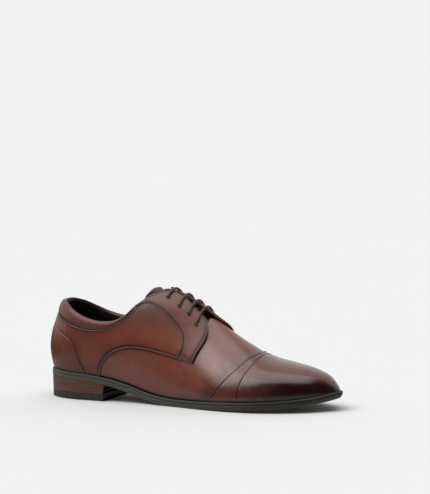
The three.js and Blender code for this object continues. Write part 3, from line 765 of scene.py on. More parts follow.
def burnish(base, edges=(), joins=(), reach=5.0, seam_dark=0.5, low_dark=0.3):
    """Darker along seams and low down, with painted shade in the groove of each row of stitches; stitched edges are
    made pale, partly as wear and partly as a painted highlight; joins hold a dark line, partly the seam itself and
    partly painted shade.
    """

    def values(s, v, gap):
        edge, line = away_from(edges, s, v), away_from(joins, s, v)
        near_seam = np.exp(-np.minimum(edge, line) / reach) * seam_dark
        # Painted shade: the bell at the row of stitches darkens its groove, and the bell on a join paints shade in the
        # seam.
        darkening = base + near_seam + low_down(v, low_dark) + 0.6 * bell(edge - ROW, 0.42) + 0.5 * bell(line, 0.5)
        return {"burnish": darkening, "edge": edge, "inside": crease(s, v)}

    return values


def stitched(thickness):
    """The outside of a layer, pulled in a little under its row of stitches."""
    return lambda s, v, gap: thickness - BEND * bell(gap - ROW, 0.55)


def join(*lines):
    """One closed outline from lines that follow each other."""
    points = np.concatenate(lines)
    apart = np.linalg.norm(np.diff(points, axis=0, append=points[:1]) * UNITS, axis=1)
    return points[apart > 0.3]


def straight(start, end, samples):
    """Points on a straight line between two places."""
    t = ramp(0, 1, samples)
    return np.array(start) * (1 - t) + np.array(end) * t


def circle(centre, radius):
    angle = np.linspace(0, 2 * np.pi, 16, endpoint=False)
    return np.array(centre) + np.stack([np.cos(angle), np.sin(angle)], -1) * radius / UNITS


def vamp():
    """The vamp with its wings under the quarters; it ends a little way in under the cap."""
    lateral = seam(VAMP_EDGE, LATERAL)
    medial = seam(VAMP_EDGE, MEDIAL)
    lap = 0.02
    under_cap = np.concatenate([seam(CAP_EDGE, MEDIAL), seam(CAP_EDGE, LATERAL)[::-1]]) + [lap, 0]
    back, front = VAMP_EDGE[0][0], CAP_EDGE[0][0] + lap
    outline = join(lateral, medial[::-1], straight((back, 1), (front, 1), 60), under_cap,
                   straight((front, -1), (back, -1), 60))
    lapped = [seam(line, side) for line in (QUARTER_EDGE, FACING_FRONT) for side in (LATERAL, MEDIAL)]
    filled = pattern(outline, spacing=3.2, lines=lapped)

    def values(s, v, gap):
        cap_s, cap_v = np.array(CAP_EDGE[::-1]).T
        near_cap = 0.45 * smooth((s - np.interp(np.abs(v), cap_v, cap_s) + 0.05) / 0.05)
        beside_lap = away_from(lapped, s, v)
        # Painted shadow: a dark line where the quarters and facings lie over the vamp, fading over a few millimetres.
        shadow = 1.1 * bell(beside_lap, 1.0) + 0.15 * np.exp(-beside_lap / 4)
        return {"burnish": 0.08 + low_down(v, 0.35) + near_cap + shadow, "edge": np.full(len(s), FAR),
                "inside": crease(s, v)}

    shell("vamp_leather", filled, -LEATHER, 0, vamp_leather, values, nodes=["vamp"])


def toe_cap():
    """The cap on a grid whose rows follow its edge and its second line of stitches."""
    columns = 141
    v = np.linspace(-1, 1, columns)
    first, second = spline(CAP_EDGE, 300)[::-1], spline(CAP_STITCHING, 300)[::-1]
    edge = np.interp(np.abs(v), first[:, 1], first[:, 0])
    edge = edge + np.where(v > 0, forward(edge, np.abs(v), MEDIAL), 0)
    line = np.interp(np.abs(v), second[:, 1], second[:, 0])
    near_edge = np.array([0, 0.12, 0.3, 0.55, 0.9, 1.2, 1.45, 1.7, 1.95, 2.2, 2.6])[:, None] / UNITS[0]
    near_line = np.array([-1.2, -0.8, -0.5, -0.25, 0, 0.25, 0.5, 0.8, 1.2])[:, None] / UNITS[0]
    between = ramp(0, 1, 8)[1:-1]
    ahead = ramp(0, 1, 64)[1:] ** 0.85
    start, stop = edge + near_edge[-1], line + near_line[0]
    after = line + near_line[-1]
    s = np.concatenate([edge + near_edge, start + (stop - start) * between, line + near_line,
                        after + (1 - after) * ahead])
    s = np.maximum.accumulate(s, axis=0)
    s[-1] = 1
    rows = len(s)
    place = np.broadcast_to(v, s.shape)
    gap = (s - edge) * UNITS[0]
    threads = bell(gap - ROW, 0.5) + bell((s - line) * UNITS[0], 0.5)
    high = CAP_TOP * (0.25 + 0.75 * rounded(gap, 0.5)) - BEND * threads
    outer = skin(s, place, high).reshape(-1, 3)
    inner = skin(s, place, CAP_LOW).reshape(-1, 3)
    count = rows * columns
    faces = grid_faces(rows, columns)
    faces += [tuple(i + count for i in face[::-1]) for face in faces]
    faces += [(j + 1, j, j + count, j + 1 + count) for j in range(columns - 1)]
    for column in (0, columns - 1):
        down = [i * columns + column for i in range(rows)]
        pairs = zip(down, down[1:]) if column == 0 else zip(down[1:], down)
        faces += [(a, b, b + count, a + count) for a, b in pairs]
    tip = smooth((s - 0.7) / 0.3)
    side = smooth((np.abs(place) - 0.42) / 0.3)
    ahead_of_line = smooth((s - line + 0.01) / 0.12)
    # Darker towards the tip and low on the sides; the two rows of stitches are painted shade in their grooves.
    value = 0.12 + 0.45 * tip + 0.2 * side + 0.6 * side * ahead_of_line + 0.6 * threads
    values = {"burnish": np.tile(value.ravel(), 2), "edge": np.full(2 * count, FAR),
              "inside": np.tile(crease(s, place).ravel(), 2)}
    weld(make("toe_cap_leather", np.concatenate([outer, inner]), faces, cap_leather, values=values, nodes=["toe_cap"]))


def quarter(side, word):
    front = seam([(s - 0.006, v) for s, v in FACING_FRONT], side)
    lacing = seam(LACING_EDGE[side], side, across=2.0)[::-1]
    edge, heel_seam = seam(QUARTER_EDGE, side), seam(HEEL_SEAM, side)
    outline = join(edge, front[1:], lacing, seam(COLLAR_SEAM[2:], side)[::-1], heel_seam,
                   straight((HEEL_SEAM[-1][0], side), (QUARTER_EDGE[0][0], side), 12))
    joins = [seam(COLLAR_SEAM, side), heel_seam]
    worn_and_lit = burnish(0.16, [edge], joins)

    def values(s, v, gap):
        made = worn_and_lit(s, v, gap)
        # Painted shade: darker towards the top of the quarter.
        made["burnish"] += 0.4 * smooth((0.56 - np.abs(v)) / 0.2)
        return made

    shell(f"quarter_{word}_leather", pattern(outline, lines=joins[:1]), OVER_VAMP, stitched(QUARTER_THICK),
          upper_leather, values, nodes=[f"quarter_{word}"])


def facing(side, word):
    """The overlaid facing with its eyelets; its rear corner sinks to lie over the collar's end."""
    edges = [facing_top(side), seam(LACING_EDGE[side], side, 90), seam(FACING_FRONT, side), seam(FACING_REAR, side)]
    outline = join(*edges[:2], *(edge[::-1] for edge in edges[2:]))
    holes = [circle(eyelet_place(eyelet, side), EYELET_RADIUS) for eyelet in EYELETS]

    def low(s, v):
        return FACING_LOW - FACING_DROP * smooth((0.407 - s) / 0.02)

    def high(s, v, gap):
        return low(s, v) + stitched(FACING_THICK)(s, v, gap)

    shell(f"facing_{word}_leather", pattern(outline, holes, 2.4, 0.9), low, high, upper_leather,
          burnish(0.3, edges, reach=4.0, low_dark=0.2), nodes=[f"facing_{word}"])


def facing_top(side):
    """The facing's short top edge, from the collar to the lacing."""
    return seam([(0.3835, 0.368), (0.3935, 0.322), LACING_EDGE[side][0]], side, 30)


def eyelet_place(eyelet, side):
    s, v = eyelet
    return np.array([s + (MEDIAL_EYELETS_FORWARD if side == MEDIAL else 0), side * v])


def heel_foxing():
    collar = spline(COLLAR_SEAM[:3], 30)
    heel = spline(HEEL_SEAM, 50)
    medial = np.concatenate([collar, heel])
    lateral = medial[::-1] * [-1, 1]
    front = HEEL_SEAM[-1][0]
    outline = join(lateral, medial, straight((front, 1), (-front, 1), 120))
    shell("heel_foxing_leather", pattern(outline), OVER_VAMP, FOXING_TOP, upper_leather,
          burnish(0.32, joins=[lateral, medial], seam_dark=0.35), chart="heel", nodes=["heel_foxing"])


# The roll's section: the share of the way from its seam up to the topline, and the height over the surface.
ROLL = [
    (0.0, 0.1), (0.04, 1.2), (0.2, 1.9), (0.45, 2.1), (0.72, 1.8), (0.9, 1.0), (0.99, -0.4), (0.98, -1.7),
    (0.88, -3.0), (0.66, -4.2), (0.4, -4.7), (0.15, -4.6), (0.02, -4.0), (0.02, -2.0),
]


def closed_curve(points, samples):
    """A smooth closed curve through points."""
    points = np.array(points, float)
    count = len(points)
    t = np.arange(samples) * count / samples
    i = t.astype(int)
    f = (t - i)[:, None]
    a, b, c, d = (points[(i + k) % count] for k in (-1, 0, 1, 2))
    return 0.5 * (2 * b + (c - a) * f + (2 * a - 5 * b + 4 * c - d) * f ** 2 + (3 * b - a - 3 * c + d) * f ** 3)


def collar():
    """The padded roll round the foot's opening, from one facing to the other."""
    along_s = np.linspace(0, 0.396, 93)
    u = np.concatenate([-along_s[::-1], along_s[1:]])
    s = np.abs(u)
    high_v = np.interp(s, *spline(TOPLINE, 400).T)
    low_v = np.interp(s, *spline([*COLLAR_SEAM, (0.399, 0.33)], 400).T)
    profile = closed_curve(ROLL, 44)
    fade = 0.5 + 0.5 * smooth((0.384 - s) / 0.05)
    v = low_v[:, None] + (high_v - low_v)[:, None] * profile[:, 0]
    depth = profile[:, 1] * fade[:, None]
    side = np.where(u < 0, -1, 1)[:, None]
    points = skin(np.broadcast_to(s[:, None], v.shape), v * side, depth)
    faces = grid_faces(len(u), len(profile), close_columns=True)
    faces += end_caps(len(u), len(profile))
    # Painted shade: darker along the outside of the roll at its seam, and near black on the roll's inner side.
    values = {
        "burnish": 0.4 + 0.5 * np.exp(-np.abs(profile[:, 0]) / 0.1) * (profile[:, 1] > -1),
        "edge": 0.5 + 9 * np.abs(profile[:, 1] + 0.3),
        "inside": smooth((-0.6 - profile[:, 1]) / 0.8),
    }
    values = {key: np.tile(value, len(u)) for key, value in values.items()}
    piece = make("collar_roll", points.reshape(-1, 3), faces, collar_leather, values=values,
                 nodes=["collar", "collar_padding"])
    weld(piece)


# Where the quarter linings meet the heel lining, and how far the linings stop under the topline.
LINING_SPLIT = 0.263
LINING_TOP = 0.012
LINING_FRONT = [
    (0.465, 1), (0.465, 0.85), (0.465, 0.74), (0.465, 0.64), (0.483, 0.54), (0.503, 0.45), (0.508, 0.3),
    (0.512, 0.2),
]
VAMP_LINING_EDGE = [
    (0.467, 1), (0.467, 0.85), (0.467, 0.74), (0.469, 0.64), (0.51, 0.54), (0.56, 0.45), (0.585, 0.3),
    (0.605, 0.05),
]


def lining_depth(deep, close):
    """Deep in the shoe, but close under the facings."""

    def depth(s, v, gap=None):
        under = smooth((0.56 - np.abs(v)) / 0.12) * smooth((s - 0.385) / 0.03)
        return deep + (close - deep) * under

    return depth


def lining_values(s, v, gap):
    return {"edge": gap}


def lining_top():
    """The top edge of the linings, tucked just under the collar."""
    return spline(TOPLINE, 300) + [0, LINING_TOP]


def quarter_lining(side, word):
    top = lining_top()
    back = np.interp(LINING_SPLIT, *top.T)
    top = top[top[:, 0] > LINING_SPLIT] * [1, side]
    lacing = seam(LACING_EDGE[side], side, across=1.0)
    lacing = lacing[lacing[:, 0] < 0.505 + (MEDIAL_FORWARD if side == MEDIAL else 0)]
    corner = (LINING_SPLIT, side)
    outline = join(top, lacing[2:], seam(LINING_FRONT, side)[::-1], straight((LINING_FRONT[0][0], side), corner, 40),
                   straight(corner, (LINING_SPLIT, back * side), 40))
    shell(f"quarter_lining_{word}_leather", pattern(outline, spacing=4, edge_step=1.6), lining_depth(-4.2, -1.2),
          lining_depth(-3.2, -0.2), lining, lining_values, nodes=[f"quarter_lining_{word}"])


def heel_lining():
    front = LINING_SPLIT - 0.001
    top = lining_top()
    top = top[top[:, 0] < front]
    outline = join(top[::-1] * [-1, 1], top, straight((front, 1), (-front, 1), 120))
    shell("heel_lining_leather", pattern(outline, spacing=4, edge_step=1.6), -4.6, -3.6, lining, lining_values,
          chart="heel", nodes=["heel_lining"])


def vamp_lining():
    front, back = 0.955, VAMP_LINING_EDGE[0][0]
    lateral, medial = (seam(VAMP_LINING_EDGE, side) for side in (LATERAL, MEDIAL))
    outline = join(lateral, medial[::-1], straight((back, 1), (front, 1), 80),
                   straight((front, 1), (front, -1), 60), straight((front, -1), (back, -1), 80))
    shell("vamp_lining_cloth", pattern(outline, spacing=5, edge_step=2), -4.2, -3.2, lining, lining_values,
          nodes=["vamp_lining"])


tongue_depth = through([
    (0, -1.8), (0.4, -1.8), (0.425, -2.1), (0.455, -5.3), (0.53, -5.3), (0.56, -4.9), (0.59, -1.8), (1, -1.7),
])
TONGUE_HALF = [
    (0.5817, 0.0), (0.580, 0.17), (0.565, 0.235), (0.535, 0.275), (0.5, 0.29), (0.46, 0.28), (0.425, 0.305),
    (0.402, 0.338), (0.395, 0.325), (0.399, 0.285), (0.406, 0.2), (0.412, 0.11), (0.418, 0.04), (0.42, 0.0),
]


def tongue():
    """The tongue and its lining. The top stands up where it is free of both facings."""
    half = spline(TONGUE_HALF, 120)
    outline = join(half, half[::-1] * [1, -1])

    def over(s, v, gap=None):
        free = []
        for side in (LATERAL, MEDIAL):
            top = np.concatenate([facing_top(side), seam(LACING_EDGE[side], side)[1:20]])
            free.append(np.interp(s, top[:, 0], top[:, 1] * side) - v * side)
        hump = smooth(np.minimum(*free) / 0.045) * smooth((0.45 - s) / 0.035)
        return tongue_depth(s) + 3.2 * hump

    def below(depth):
        return lambda s, v, gap=None: over(s, v) - depth

    shell("tongue_leather", pattern(outline), below(1.3), over, upper_leather, burnish(0.3, [outline]),
          body="tongue_flap", nodes=["tongue"])
    trimmed = pattern(join(half * [1, 0.93], half[::-1] * [1, -0.93]) * [0.985, 1] + [0.0075, 0], spacing=4)
    shell("tongue_lining_leather", trimmed, below(2.5), below(1.45), lining, lining_values, body="tongue_flap",
          nodes=["tongue_lining"])


# ------------------------------------------------------------------ stitches

STITCH_PITCH = 2.6
STITCH_LENGTH = 1.95
STITCH_THICKNESS = 0.72
# A stitch along its length: the share of its half length, and of its thickness there.
STITCH_PROFILE = [(-1, 0.12), (-0.82, 0.6), (-0.4, 0.96), (0, 1.0), (0.4, 0.96), (0.82, 0.6), (1, 0.12)]
STITCH_SIDES = 8
# Heights over the surface of the stitches on the facing, on the quarter and on the cap.
ON_FACING, ON_QUARTER, ON_CAP = 2.85, 1.3, 0.66


def stitches(name, rows):
    """Rows of raised stitches; each row is places (s, v) and its height over the surface."""
    angles = np.linspace(0, 2 * np.pi, STITCH_SIDES, endpoint=False)
    tube_faces = grid_faces(len(STITCH_PROFILE), STITCH_SIDES, close_columns=True)
    tube_faces += [cap[::-1] for cap in end_caps(len(STITCH_PROFILE), STITCH_SIDES)]
    points, faces = [], []
    for line, depth in rows:
        path = skin(line[:, 0], line[:, 1], depth)
        out = normal(line[:, 0], line[:, 1])
        length = lengths(path)
        for at in np.arange(STITCH_PITCH / 2, length[-1] - STITCH_PITCH / 2, STITCH_PITCH):
            centre, ahead, behind, up = (
                np.array([np.interp(x, length, column) for column in source.T])
                for x, source in ((at, path), (at + 0.5, path), (at - 0.5, path), (at, out))
            )
            direction = unit(ahead - behind)
            across = np.cross(up, direction)
            first = len(points)
            for t, width in STITCH_PROFILE:
                radius = width * STITCH_THICKNESS / 2
                middle = centre + direction * t * STITCH_LENGTH / 2 + up * (0.1 - 0.16 * t * t)
                points.extend(middle + radius * (across * math.cos(a) + up * math.sin(a)) for a in angles)
            faces.extend(tuple(first + i for i in face) for face in tube_faces)
    make(name, np.array(points), faces, thread)


def all_stitches():
    foot = [(0.494, 0.632), (0.51, 0.638), (0.527, 0.643)]
    for side, word in ((LATERAL, "lateral"), (MEDIAL, "medial")):
        facing_rows = [
            seam(LACING_EDGE[side], side, 120, ROW)[6:-4], seam(FACING_FRONT, side, 80, -ROW),
            seam(FACING_REAR, side, 120, -ROW)[14:], seam(foot, side, 20, -1.2), seam(foot, side, 20, -3.2),
        ]
        cap_rows = [seam(CAP_EDGE, side, 120, ROW)[6:], seam(CAP_STITCHING, side, 120)[6:]]
        stitches(f"stitches_facing_{word}", [(row, ON_FACING) for row in facing_rows])
        stitches(f"stitches_quarter_{word}", [(seam(QUARTER_EDGE, side, 160, -ROW)[6:], ON_QUARTER)])
        stitches(f"stitches_collar_{word}", [(seam(COLLAR_SEAM, side, 200, 1.5), ON_QUARTER)])
        stitches(f"stitches_cap_{word}", [(row, ON_CAP) for row in cap_rows])


# ------------------------------------------------------------------ the lace

# Heights of the lace's middle over the surface: in the runs below the facings, in the bars, and in the holes.
LACE_UNDER, LACE_OVER, LACE_THROUGH = -3.1, 4.3, 0.8


def lace_route():
    """Points along the lace: a bar across each pair of eyelets, and a run below up to the next pair."""
    first_s, first_v = eyelet_place(EYELETS[0], LATERAL)
    route = [(first_s - 0.045, first_v - 0.03, LACE_UNDER), (first_s - 0.015, first_v + 0.03, LACE_UNDER)]
    for row, eyelet in enumerate(EYELETS):
        start, end = eyelet_place(eyelet, LATERAL), eyelet_place(eyelet, MEDIAL)
        for t, height in (
            (-0.02, LACE_THROUGH), (0.05, LACE_OVER - 0.4), (0.3, LACE_OVER), (0.5, LACE_OVER), (0.7, LACE_OVER),
            (0.95, LACE_OVER - 0.4), (1.02, LACE_THROUGH),
        ):
            route.append((*(start + (end - start) * t), height))
        if row < len(EYELETS) - 1:
            after = eyelet_place(EYELETS[row + 1], LATERAL)
            route.extend((*(end + (after - end) * t), LACE_UNDER) for t in (0.06, 0.35, 0.65, 0.94))
    s, v = eyelet_place(EYELETS[-1], MEDIAL)
    route.extend([
        (s - 0.003, v - 0.04, LACE_UNDER), (s - 0.006, v - 0.13, LACE_UNDER), (s - 0.008, 0, -1.7),
        (s - 0.009, -0.005, 0.8), (s - 0.011, -0.005, 2.4),
    ])
    return skin(*np.array(route).T)


def centripetal(points, step):
    """A centripetal Catmull-Rom curve through points, sampled a step apart."""
    ends = np.vstack([2 * points[0] - points[1], points, 2 * points[-1] - points[-2]])
    samples = []
    for i in range(len(points) - 1):
        p0, p1, p2, p3 = ends[i:i + 4]
        d0, d1, d2 = (max(np.linalg.norm(b - a) ** 0.5, 1e-6) for a, b in ((p0, p1), (p1, p2), (p2, p3)))
        m1 = ((p1 - p0) / d0 - (p2 - p0) / (d0 + d1) + (p2 - p1) / d1) * d1
        m2 = ((p2 - p1) / d1 - (p3 - p1) / (d1 + d2) + (p3 - p2) / d2) * d1
        count = max(int(np.linalg.norm(p2 - p1) / step), 2)
        t = np.linspace(0, 1, count, endpoint=False)[:, None]
        samples.append((2 * t ** 3 - 3 * t ** 2 + 1) * p1 + (t ** 3 - 2 * t ** 2 + t) * m1
                       + (-2 * t ** 3 + 3 * t ** 2) * p2 + (t ** 3 - t ** 2) * m2)
    samples.append(points[-1:])
    return np.concatenate(samples)


TUBE_SIDES = 14
# Millimetres of lace for one repeat of its braid.
BRAID_PITCH = 2.2


def tube(path, radius):
    """A round tube along a path. Returns its points, faces and (turn, length) places for a braid."""
    tangent = unit(np.gradient(path, axis=0))
    across = np.cross(tangent[0], [0, 0, 1.0])
    length = lengths(path)
    radius = np.broadcast_to(radius, len(path))
    points, uv = [], []
    for i, centre in enumerate(path):
        across = unit(across - tangent[i] * (across @ tangent[i]))
        up = np.cross(tangent[i], across)
        for j in range(TUBE_SIDES):
            angle = 2 * math.pi * j / TUBE_SIDES
            points.append(centre + radius[i] * (across * math.cos(angle) + up * math.sin(angle)))
            uv.append((j / TUBE_SIDES, length[i] / BRAID_PITCH))
    faces = grid_faces(len(path), TUBE_SIDES, close_columns=True) + end_caps(len(path), TUBE_SIDES)
    return np.array(points), faces, np.array(uv)


# A lace tip from its open end to its closed one: the distance along it and the radius.
AGLET = np.array([
    (0, 1.05), (0.1, 1.22), (0.25, 1.28), (0.5, 1.28), (0.9, 1.2), (1.6, 1.2), (2.2, 1.18), (2.5, 1.08),
    (2.65, 0.85), (2.7, 0.4),
])


def lace():
    path = centripetal(lace_route(), 0.5)
    points, faces, uv = tube(path, LACE_RADIUS)
    make("lace_cord", points, faces, waxed_lace, nodes=["lace"], uv=uv)
    tips = (("aglet_hidden", path[0], path[0] - path[2]), ("aglet_top", path[-1], path[-1] - path[-3]))
    for name, end, direction in tips:
        points, faces, _ = tube(end + unit(direction) * (AGLET[:, :1] - 0.1), AGLET[:, 1])
        make(f"{name}_tip", points, faces, aglet_plastic, nodes=[name])


# ------------------------------------------------------------------ the sole and heel

STATIONS = 141
# The heel's layers stop this far short of each other and of the sole.
JOINT_GAP = 0.04


def contour(limit=1.0):
    """The sole's edge from above: out along the lateral side to the limit of s, and back along the medial one."""
    s = np.linspace(0, limit, STATIONS)
    x = station_x(s, 0, SOLE_LENGTH)
    lateral = np.stack([x, centre_line(s) - sole_half_width(s)], -1)
    medial = np.stack([x, centre_line(s) + sole_half_width(s)], -1)
    last = -1 if limit == 1 else None
    return lateral, medial[1:last][::-1]


def outward(loop):
    return -aside(np.roll(loop, -1, axis=0) - np.roll(loop, 1, axis=0))


def rings(loop, profile, level=sole_top, taper=0.0, crown=0.0):
    """A ring of points for each (inset, height over level) of a profile.

    At the toe the taper draws the foot in and the crown draws the top in.
    """
    out = outward(loop)
    toe = smooth((loop[:, :1] - 235) / 60)
    top, foot = max(h for _, h in profile), min(h for _, h in profile)
    made = []
    for inset, height in profile:
        down = (top - height) / (top - foot)
        drawn_in = toe * (taper * down ** 2 + crown * (1 - down) ** 2)
        flat = loop - out * (inset + drawn_in)
        z = level(np.clip(flat[:, 0], 0, SOLE_LENGTH)) + height
        made.append(np.column_stack([flat, z]))
    return np.array(made)


def corners(radius, steps):
    """Two rounded corners of an edge as (inset, drop from the top) and (inset, rise from the bottom)."""
    angles = np.linspace(0, np.pi / 2, steps)
    shares = [(radius * (1 - math.sin(a)), radius * (1 - math.cos(a))) for a in angles]
    return shares, [pair[::-1] for pair in shares]


def lip(top, bottom, radius):
    """The profile of an edge between two heights with rounded corners, from the top down."""
    upper, lower = corners(radius, 5)
    return [(inset, top - drop) for inset, drop in upper] + [(inset, bottom + rise) for inset, rise in lower]


def strips(lateral, medial_back, first=0):
    """Quads across the sole between the two sides of a closed loop."""
    stations = len(lateral)
    total = stations + len(medial_back)
    other = [0, *[total - i for i in range(1, stations - 1)], stations - 1]
    if len(medial_back) == stations - 1:
        other[-1] = total - stations + 1
    return [tuple(first + k for k in (i, i + 1, other[i + 1], other[i])) for i in range(stations - 1)]


def clean(faces):
    """Faces without repeated corners."""
    return [tuple(dict.fromkeys(face)) for face in faces if len(set(face)) > 2]


def slab(name, node, profile, material, **shape):
    """A piece as wide as the sole, closed above and below."""
    lateral, medial = contour()
    loop = np.concatenate([lateral, medial])
    made = rings(loop, profile, **shape)
    faces = grid_faces(len(profile), len(loop), close_columns=True)
    faces += clean(strips(lateral, medial))
    faces += clean([f[::-1] for f in strips(lateral, medial, (len(profile) - 1) * len(loop))])
    piece = make(name, made.reshape(-1, 3), faces, material, nodes=[node])
    weld(piece)
    return piece


def welt():
    """The welt, with painted shade in the groove where the upper meets it."""
    loop = np.concatenate(contour())
    profile = [(10.8, 0.0), (6.0, 0.0), (3.4, -0.1), (2.3, -0.25), (1.9, 0.0), *lip(0.0, -WELT - 0.05, 0.7),
               (1.2, -WELT), (10.8, -WELT)]
    made = rings(loop, profile, crown=1.7)
    faces = grid_faces(len(profile), len(loop), close_rows=True, close_columns=True)
    # Painted shade: the groove's rows go near black.
    dark = np.array([float(inset > 1.95 and height > -1) for inset, height in profile])
    values = {"burnish": np.repeat(dark, len(loop))}
    weld(make("welt_strip", made.reshape(-1, 3), faces, waxed_edge, nodes=["welt"], values=values))


def outsole():
    profile = [(3.0, -WELT - 0.12), (1.0, -WELT - 0.12), *lip(-WELT - 0.2, -SOLE_EDGE, 0.9), (2.6, -SOLE_EDGE),
               (6.0, -SOLE_EDGE + 0.02)]
    piece = slab("outsole_leather", "outsole", profile, waxed_edge, taper=2.6)
    piece.data.materials.append(sole_bottom)
    for face in piece.data.polygons:
        face.material_index = int(face.normal.z < -0.9)


def heel_loop():
    """The heel's outline from above, with its hollow breast."""
    lateral, medial = contour(0.322)
    centre_x = BREAST_X + math.sqrt(BREAST_RADIUS ** 2 - BREAST_HALF_WIDTH ** 2)

    def breast(y):
        return centre_x - np.sqrt(BREAST_RADIUS ** 2 - y * y)

    lateral = lateral[lateral[:, 0] < breast(lateral[:, 1]) - 0.3]
    medial = medial[medial[:, 0] < breast(medial[:, 1]) - 0.3]
    y = np.linspace(lateral[-1, 1], medial[0, 1], 26)[1:-1]
    return np.concatenate([lateral, np.column_stack([breast(y), y]), medial])


def heel_layer(name, node, low, high, inset, material, radius=0.25):
    """One layer of the heel between two heights, each a function of x."""
    loop = heel_loop()
    loop = loop - outward(loop) * inset
    out = outward(loop)
    upper, lower = corners(radius, 4)
    made = []
    for drawn_in, drop in upper:
        flat = loop - out * drawn_in
        made.append(np.column_stack([flat, high(flat[:, 0]) - drop]))
    for part in (0.25, 0.5, 0.75):
        made.append(np.column_stack([loop, high(loop[:, 0]) * (1 - part) + low(loop[:, 0]) * part]))
    for drawn_in, rise in lower:
        flat = loop - out * drawn_in
        made.append(np.column_stack([flat, low(flat[:, 0]) + rise]))
    faces = grid_faces(len(made), len(loop), close_columns=True)
    faces += [cap[::-1] for cap in end_caps(len(made), len(loop))]
    weld(make(name, np.concatenate(made), faces, material, nodes=[node]))


def heel():
    def flat(height):
        return lambda x: np.full(len(x), float(height))

    heel_layer("heel_top_piece_rubber", "heel_top_piece", flat(0), flat(TOP_PIECE), 0.7, heel_rubber, 0.5)
    for i in range(3):
        bottom = TOP_PIECE + JOINT_GAP + i * LIFT_STEP
        top = flat(TOP_PIECE + (i + 1) * LIFT_STEP) if i < 2 else (lambda x: sole_top(x) - SOLE_EDGE - JOINT_GAP)
        heel_layer(f"heel_lift_{i + 1}_leather", f"heel_lift_{i + 1}", flat(bottom), top, 0.55 - i * 0.12, stacked_heel)


def sock_liner():
    """The sock liner, raised over the heel by the pad below it."""
    profile = [(12.0, 4.0), (9.8, 4.0), (9.3, 3.85), (9.1, 3.5), (9.3, 3.1), (12.0, 3.05)]
    slab("sock_liner_leather", "sock_liner", profile, lining,
         level=lambda x: sole_top(x) + 2 * (1 - smooth((x - 50) / 30)))


# ------------------------------------------------------------------ floor, light and camera


def paper(name, half_size, height, light, dark, hidden, **constants):
    """A square of paper in the studio, hidden from some kinds of ray."""
    mesh = bpy.data.meshes.new(name)
    corners_at = [(x * half_size, y * half_size, height) for x, y in ((-1, -1), (1, -1), (1, 1), (-1, 1))]
    mesh.from_pydata(corners_at, [], [(0, 1, 2, 3)])
    look = Look(f"{name}_paper", "sole_edge", **constants)
    tone = look.mix(look.noise(3.0, 2), (light, light, light, 1), (dark, dark, dark, 1))
    mesh.materials.append(look.finish(tone, look.spread(6.0, 0.9, 0.95)))
    piece = bpy.data.objects.new(name, mesh)
    bpy.context.scene.collection.objects.link(piece)
    for ray in hidden:
        setattr(piece, f"visible_{ray}", False)


def floor():
    """The pale floor, and a dimmer card just below it, which the leather's gloss reflects in its place."""
    paper("floor", 40.0, 0, 0.9, 0.89, ["glossy"])
    paper("floor_card", 0.3, -0.001, 0.4, 0.38, ["camera", "diffuse", "shadow"],
          Emission_Color=(1, 1, 1, 1), Emission_Strength=0.4)


PHOTO_AZIMUTH = 24.0
SOFTBOX, WALL, AMBIENT = 3.35, 0.72, 0.03


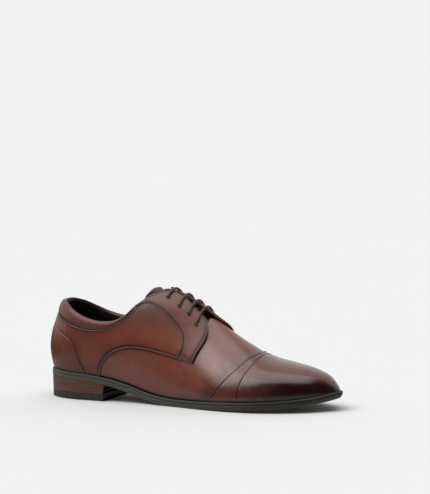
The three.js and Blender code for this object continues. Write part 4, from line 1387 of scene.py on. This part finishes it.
def lighting():
    """A long softbox over the camera side, a white wall behind, and little from the front."""
    world = bpy.data.worlds.new("studio")
    bpy.context.scene.world = world
    studio = Nodes(world)
    math_node = studio.math

    def dot(vector):
        inputs = {0: direction, 1: vector}
        return studio.node("ShaderNodeVectorMath", inputs, operation="DOT_PRODUCT").outputs["Value"]

    def step(value, low, high):
        """A soft step between two angles in degrees; it falls where low is the larger."""
        inputs = {"Value": value, "From Min": math.radians(low), "From Max": math.radians(high)}
        return studio.node("ShaderNodeMapRange", inputs, interpolation_type="SMOOTHSTEP").outputs["Result"]

    # Angles of a direction as the camera sees it: over the shoe from the front, and towards the toe.
    direction = studio.node("ShaderNodeTexCoord").outputs["Generated"]
    turn = math.radians(PHOTO_AZIMUTH)
    front = dot((math.sin(turn), -math.cos(turn), 0))
    sideways = math_node("ARCSINE", dot((math.cos(turn), math.sin(turn), 0)))
    over = math_node("ARCTAN2", dot((0, 0, 1)), front)

    # The softbox's lower edge is sharp towards the toe, and rises and softens towards the heel.
    heelward = math_node("MINIMUM", math_node("ADD", sideways, math.radians(12)), 0)
    lowered = math_node("SUBTRACT", over, math_node("MULTIPLY", heelward, 0.5))
    sharp = step(lowered, 56, 61)
    soft = math_node("MULTIPLY", step(lowered, 44, 76), step(sideways, -8, -30))
    box = math_node("ADD", math_node("MULTIPLY", sharp, 0.7), math_node("MULTIPLY", soft, 0.7))
    for edge in (step(over, 108, 97), step(sideways, -58, -44), step(sideways, 34, 16)):
        box = math_node("MULTIPLY", box, edge)
    wall = math_node("MULTIPLY", step(over, 92, 112), WALL)
    light = math_node("ADD", math_node("MULTIPLY", box, SOFTBOX - WALL), wall)
    background = studio.tree.nodes["Background"]
    background.inputs["Color"].default_value = (1, 1, 1, 1)
    studio.feed(background.inputs["Strength"], math_node("ADD", light, AMBIENT))
    bpy.context.scene.view_settings.view_transform = "Standard"
    bpy.context.scene.view_settings.look = "None"


PHOTO_ELEVATION = 7.6
PHOTO_DISTANCE = 3.0
# The lens in millimetres on a full-frame sensor, and how far right and up of the shoe's middle it aims, in metres.
LENS, SENSOR = 226, 36
AIM_RIGHT, AIM_UP = 0.0196, 0.1051


def camera():
    azimuth, elevation = math.radians(PHOTO_AZIMUTH), math.radians(PHOTO_ELEVATION)
    right = Vector((math.cos(azimuth), math.sin(azimuth), 0))
    back = Vector((
        math.sin(azimuth) * math.cos(elevation), -math.cos(azimuth) * math.cos(elevation), math.sin(elevation)))
    up = back.cross(right)
    middle = Vector(to_frame((150, 0, 45)))
    target = middle + right * AIM_RIGHT + up * AIM_UP
    data = bpy.data.cameras.new("camera")
    data.sensor_width = SENSOR
    data.lens = LENS
    eye = bpy.data.objects.new("camera", data)
    eye.location = middle + back * PHOTO_DISTANCE
    eye.rotation_euler = (eye.location - target).to_track_quat("Z", "Y").to_euler()
    bpy.context.scene.collection.objects.link(eye)
    bpy.context.scene.camera = eye


# ------------------------------------------------------------------ the shoe

camera()
lighting()
floor()
vamp()
toe_cap()
for shoe_side, side_word in ((LATERAL, "lateral"), (MEDIAL, "medial")):
    quarter(shoe_side, side_word)
    facing(shoe_side, side_word)
    quarter_lining(shoe_side, side_word)
heel_foxing()
collar()
heel_lining()
vamp_lining()
tongue()
all_stitches()
lace()
welt()
outsole()
heel()
sock_liner()
